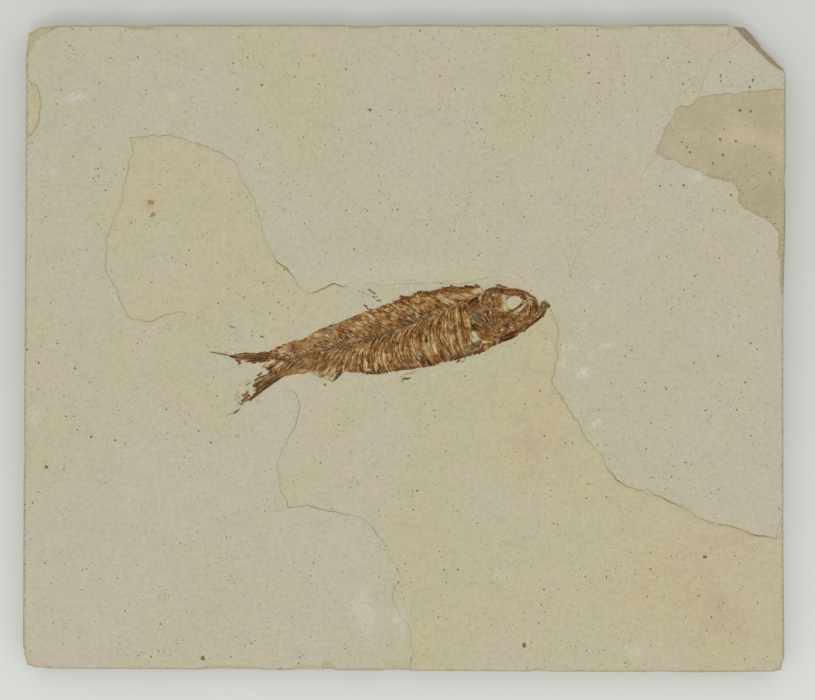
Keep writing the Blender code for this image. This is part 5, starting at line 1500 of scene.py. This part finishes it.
PALE_FINS = [
    (273.4, 371.6, 0.5, 0.4, 0.0, 0.8), (260, 379, 2.4, 0.2, 0.6, 0.7), (476, 343, 0.8, 0.5, 0.4, 0.4),
    (330, 376.4, 4.4, 2.0, 0.85, 1.0), (268, 376, 3.0, 0.18, 0.6, 0.6), (264, 381, 3.4, 0.16, 0.65, 0.5),
    (318, 374.4, 2.6, 0.9, 0.1, 0.8), (240, 356.6, 1.6, 0.2, -0.2, 0.5), (288, 369, 2.2, 1.0, 0.7, 0.7),
]
RUSTY_FINS = [
    (244.6, 398, 2.8, 2.8, 0.8, 1.0), (237, 359, 4.2, 1.8, -0.2, 1.0), (254, 362.8, 1.8, 0.6, 0.0, 0.9),
    (335, 380, 1.2, 0.8, 0.9, 0.6), (254.6, 384, 0.9, 2.4, 0.7, 0.7), (247, 353, 3.0, 0.4, 0.0, 0.5),
    (262, 384, 5.0, 1.2, 0.7, 0.5), (244, 360.4, 2.0, 0.5, 0.0, 0.7),
]
FIN_THICK = 0.08
RAY_STEP = 0.05
TAIL_ROOT = (292, 361)
# How many millimetres across one radian round the tail's root stands for in the streaks.
RAY_SPREAD = 12


def fin_fields(plan):
    """Where the fins are dark, grey, pale or rusty, and the course of their rays round the tail's root."""
    root = drawn(TAIL_ROOT)
    out = plan - root
    return {"across": np.arctan2(out[:, 1], -out[:, 0]) * RAY_SPREAD, "outward": np.hypot(*out.T),
            "dark": blots(plan, DARK_FINS), "grey": blots(plan, GREY_FINS), "pale": blots(plan, PALE_FINS),
            "rusty": blots(plan, RUSTY_FINS)}


def fin_thickness(plan):
    """The fin's film is thin and uneven."""
    return FIN_THICK + 0.03 * cloud(plan, 0.8, 95, 2)


fin_skin, tree, shader, place = new_material("fin_skin", 0.65, 0.12)
ray_streak = use(tree, streaks, Across=field(tree, "across"), Outward=field(tree, "outward"), Width=0.35,
                 Length=5.0)["Value"]
crumb = crumbs(tree, place, 0.5)
tone = add(tree, 0.35, scaled(tree, ray_streak, 0.34), scaled(tree, crumb, 0.14))
greyish = work(tree, "MAXIMUM", field(tree, "grey"), 0.6)
colour = use(tree, fossil_tones, Tone=tone, Dark=field(tree, "dark"), Grey=greyish,
             Pale=field(tree, "pale"), Rusty=field(tree, "rusty"))["Color"]
feed(tree, shader.inputs["Base Color"], colour)
bumped(tree, shader, 0.4, 0.00006, ray_streak)

FIN_FILMS = {"tail_film": ([TAIL_UPPER, TAIL_LOWER, TAIL_PATCH], TAIL_GAPS, "tail_fin", 0.0),
             "anal_film": ([ANAL_FIN], [], "anal_fin", 0.02),
             "pectoral_film": ([PECTORAL], [], "pectoral_fin", 0.1)}
for name, (outlines, gaps, node, lift) in FIN_FILMS.items():
    piece = film(name, outlines, gaps, fin_thickness, fin_fields, lift)
    dress(piece, "fin_bone", node, finish=fin_skin)


def ray_fan(roots, tips, count, girth=1.0, ragged_ends=0.12, bow=0.0):
    """Rays from a drawn line of roots to a drawn line of tips."""
    share = (np.arange(count) + 0.5) / count
    starts, ends = resampled(drawn(roots), RAY_STEP), resampled(drawn(tips), RAY_STEP)
    start = starts[(share * (len(starts) - 1)).astype(int)]
    run = ends[(share * (len(ends) - 1)).astype(int)] - start
    run = run * (1 - ragged_ends * rough.uniform(0, 1, (count, 1)))
    return start, {"heading": np.arctan2(run[:, 1], run[:, 0]), "reach": np.hypot(*run.T),
                   "bow": bow * np.ones(count), "girth": girth * rough.uniform(0.7, 1.2, count)}


# Each fan of rays: its roots, its tips, then the count, the girth and how ragged the tips are, the
# height, the solid, and the width, the seed and the unevenness.
RAY_FANS = {
    "tail_rays_upper": ([(278, 351), (272, 358.6)], [(231, 355.6), (236, 360), (252, 363.4)], (12, 1.0, 0.2),
                        0.12, "tail_fin", (0.18, 101, 0.02)),
    "tail_rays_root": ([(290, 354), (292, 362)], [(268, 351.6), (269, 356), (278, 362)], (6, 1.0, 0.3),
                       0.14, "tail_fin", (0.24, 102, 0.03)),
    "tail_rays_middle": ([(287, 359), (297, 363)], [(275, 371), (287, 373.4)], (8, 1.2, 0.3),
                         0.16, "tail_fin", (0.28, 106, 0.03)),
    "tail_rays_lower": ([(282, 368), (288, 374)], [(256, 379), (254, 387), (250, 398), (252, 400)],
                        (12, 1.0, 0.15), 0.12, "tail_fin", (0.18, 103, 0.01)),
    "anal_rays": ([(322, 367), (336, 362.4), (344, 361)], [(313, 373.6), (323, 377.6), (330, 381.6)],
                  (12, 1.0, 0.2), 0.16, "anal_fin", (0.18, 104, 0.03)),
    "pectoral_rays": ([(481, 341), (480.4, 346)], [(464, 346), (462, 352)], (7, 1.0, 0.3),
                      0.2, "pectoral_fin", (0.15, 105, 0.05)),
}
for name, (roots, tips, spread, lift, node, (width, seed, uneven)) in RAY_FANS.items():
    laid(name, *ray_fan(roots, tips, *spread), fan, bone, lift, node, "fin_bone",
         Bone_Width=width, Seed=seed, Unevenness=uneven)

# ---------------------------------------------------------------- scraps
# Loose ends of rays lie off the tail, over the back where the dorsal fin stood, and under the
# belly where a pelvic fin lay, each a splinter of brown bone on the stone.
TAIL_SCRAPS = [
    ("brown", 0.3, [(209, 351.8), (217, 353), (226, 354.8), (232, 356.4)]),
    ("tan", 0.2, [(224.6, 352.2), (229, 352.8)]),
    ("brown", 0.42, [(232.6, 413.6), (236.6, 411.4), (240, 408.8)]),
    ("tan", 0.25, [(235.6, 406.4), (241, 402)]), ("tan", 0.35, [(226, 416.6), (229, 413.8), (233, 413.6)]),
    ("brown", 0.3, [(246, 385.6), (249.6, 382.4)]), ("tan", 0.25, [(249, 383.4), (254, 380.4)]),
    ("tan", 0.2, [(245.4, 381.6), (250, 379.6)]), ("tan", 0.25, [(235, 400.4), (241, 395.4)]),
    ("tan", 0.2, [(234, 397), (239, 393)]), ("brown", 0.5, [(257, 376), (260, 374.2), (262.6, 371.8)]),
    ("dark", 0.5, [(266, 369.8), (271, 367), (278, 363)]),
    ("brown", 0.45, [(268.6, 365.6), (273, 363.8), (279, 361.4)]),
    ("dark", 0.42, [(269.6, 355.4), (277, 357.6), (286, 361)]),
    ("dark", 0.3, [(268, 352.6), (275, 354.8), (281, 357)]), ("tan", 0.2, [(238, 364.4), (243, 363)]),
    ("brown", 0.3, [(238, 364.6), (241, 363.6)]), ("cream", 0.25, [(272, 369), (278, 365), (284, 360.6)]),
    ("cream", 0.25, [(281, 369.4), (285, 364.6), (289, 359.6)]),
    ("cream", 0.22, [(285, 371), (290, 365), (294, 360.6)]),
    ("dark", 0.3, [(283, 375.6), (270, 384.4), (258, 394.4), (249.4, 401)]),
    ("tan", 0.2, [(276, 373.6), (266, 380.6)]), ("tan", 0.16, [(270, 373.4), (260, 380.6)]),
    ("brown", 0.22, [(241, 404.8), (243.6, 402.4)]),
]
BACK_SCRAPS = [
    ("brown", 0.4, [(363, 305), (366.4, 305.6), (367.4, 308.6)]),
    ("brown", 0.36, [(367, 308.8), (372, 309.6), (378, 309)]), ("brown", 0.4, [(368, 289), (372.4, 291.4)]),
    ("orange", 0.25, [(362.6, 291.6), (365, 294)]), ("red", 0.4, [(371, 291.4), (376, 293.8)]),
    ("red", 0.4, [(372, 296), (375.4, 297.8)]), ("brown", 0.42, [(376, 300.4), (381.6, 300.6)]),
    ("orange", 0.2, [(362, 296), (364, 297)]), ("tan", 0.2, [(366.4, 293), (369, 295.4)]),
    ("orange", 0.2, [(376, 296), (378, 297)]),
]
BELLY_SCRAPS = [
    ("brown", 0.5, [(401.6, 381), (404, 377.8), (407, 379.2), (411.4, 376.8)]),
    ("red", 0.3, [(405, 378.4), (409, 378.2)]), ("tan", 0.4, [(403, 374.8), (410, 373), (417, 370.8)]),
    ("tan", 0.25, [(399.6, 378.6), (403, 375.4)]), ("tan", 0.22, [(410, 375.2), (415, 373)]),
    ("tan", 0.2, [(399, 382.6), (404, 381.4)]), ("brown", 0.4, [(456.4, 362.8), (461, 359.6)]),
    ("orange", 0.3, [(461, 362.4), (465, 360.4)]), ("red", 0.32, [(324, 384.8), (326, 383.4)]),
    ("tan", 0.35, [(486.2, 350.6), (490, 348)]), ("cream", 0.3, [(453, 361.8), (458, 358)]),
    ("cream", 0.3, [(462, 358.4), (468, 355.4)]), ("cream", 0.3, [(436, 366.4), (442, 364)]),
]
for name, courses, lift, *nodes in (
        ("tail_scraps", TAIL_SCRAPS, 0.18, "tail_ray_1", "tail_ray_2", "tail_ray_3"),
        ("dorsal_scraps", BACK_SCRAPS, 0.06, "dorsal_ray_1", "dorsal_ray_2", "dorsal_ray_3"),
        ("pelvic_scraps", BELLY_SCRAPS, 0.06, "pelvic_fin")):
    piece = strips(name, courses, lift)
    dress(piece, "fin_bone", *nodes, finish=strip_bone)

# ---------------------------------------------------------------- table, light and camera
# The slab lies flat on a pale grey table, under an even sky of light and one broad soft lamp that stands off
# its lower edge. The table is painted paler towards that lower edge: painted light from the lamp's side.
PURE_WHITE = (1.0, 1.0, 1.0, 1.0)
SENSOR_WIDTH = 36.0
TABLE_SIZE = 2400.0
LAMP_PLACE = (-20.0, -800.0, 1500.0)
LAMP_SIZE = 420.0
LAMP_POWER = 3.0
SKY_LIGHT = 0.893
CAMERA_HEIGHT = 700.0
VIEW_WIDTH = 244.5
VIEW_MIDDLE = (0.93, -0.585)

half = TABLE_SIZE / 2
table_corners = [(-half, -half, 0), (half, -half, 0), (half, half, 0), (-half, half, 0)]
table = mesh_object("table", table_corners, [(0, 1, 2, 3)])
grey, tree, shader, place = new_material("pale_grey_table", 0.75, 0.3)
cloudy = noise(tree, place, 90.0, 3.0)
# Painted light: the table grows paler towards the lower edge of the view, on the lamp's side.
painted_lamp_glow = level(tree, put(tree, "SeparateXYZ", place).outputs[1], 60.0, -120.0, 0.0, 1.0)
table_tone = blend(tree, cloudy, paint(206, 209, 205), paint(211, 213, 209))
feed(tree, shader.inputs["Base Color"], blend(tree, painted_lamp_glow, table_tone, paint(219, 222, 218)))
bumped(tree, shader, 0.1, 0.0001, noise(tree, place, 0.8))
table.data.materials.append(grey)

world = bpy.data.worlds.new("even_sky")
world.use_nodes = True
world.node_tree.nodes["Background"].inputs["Color"].default_value = PURE_WHITE
world.node_tree.nodes["Background"].inputs["Strength"].default_value = SKY_LIGHT
bpy.context.scene.world = world

lamp_light = bpy.data.lights.new("soft_lamp", "AREA")
lamp_light.size = LAMP_SIZE * MM
lamp_light.energy = LAMP_POWER
lamp = bpy.data.objects.new("soft_lamp", lamp_light)
lamp.location = Vector(LAMP_PLACE) * MM
lamp.rotation_euler = (-lamp.location).to_track_quat("-Z", "Y").to_euler()
bpy.context.scene.collection.objects.link(lamp)

lens = bpy.data.cameras.new("overhead_camera")
lens.sensor_width = SENSOR_WIDTH
lens.lens = lens.sensor_width * CAMERA_HEIGHT / VIEW_WIDTH
camera = bpy.data.objects.new("overhead_camera", lens)
camera.location = Vector((*VIEW_MIDDLE, STONE_TOP + CAMERA_HEIGHT)) * MM
bpy.context.scene.collection.objects.link(camera)
bpy.context.scene.camera = camera
bpy.context.scene.view_settings.view_transform = "Standard"
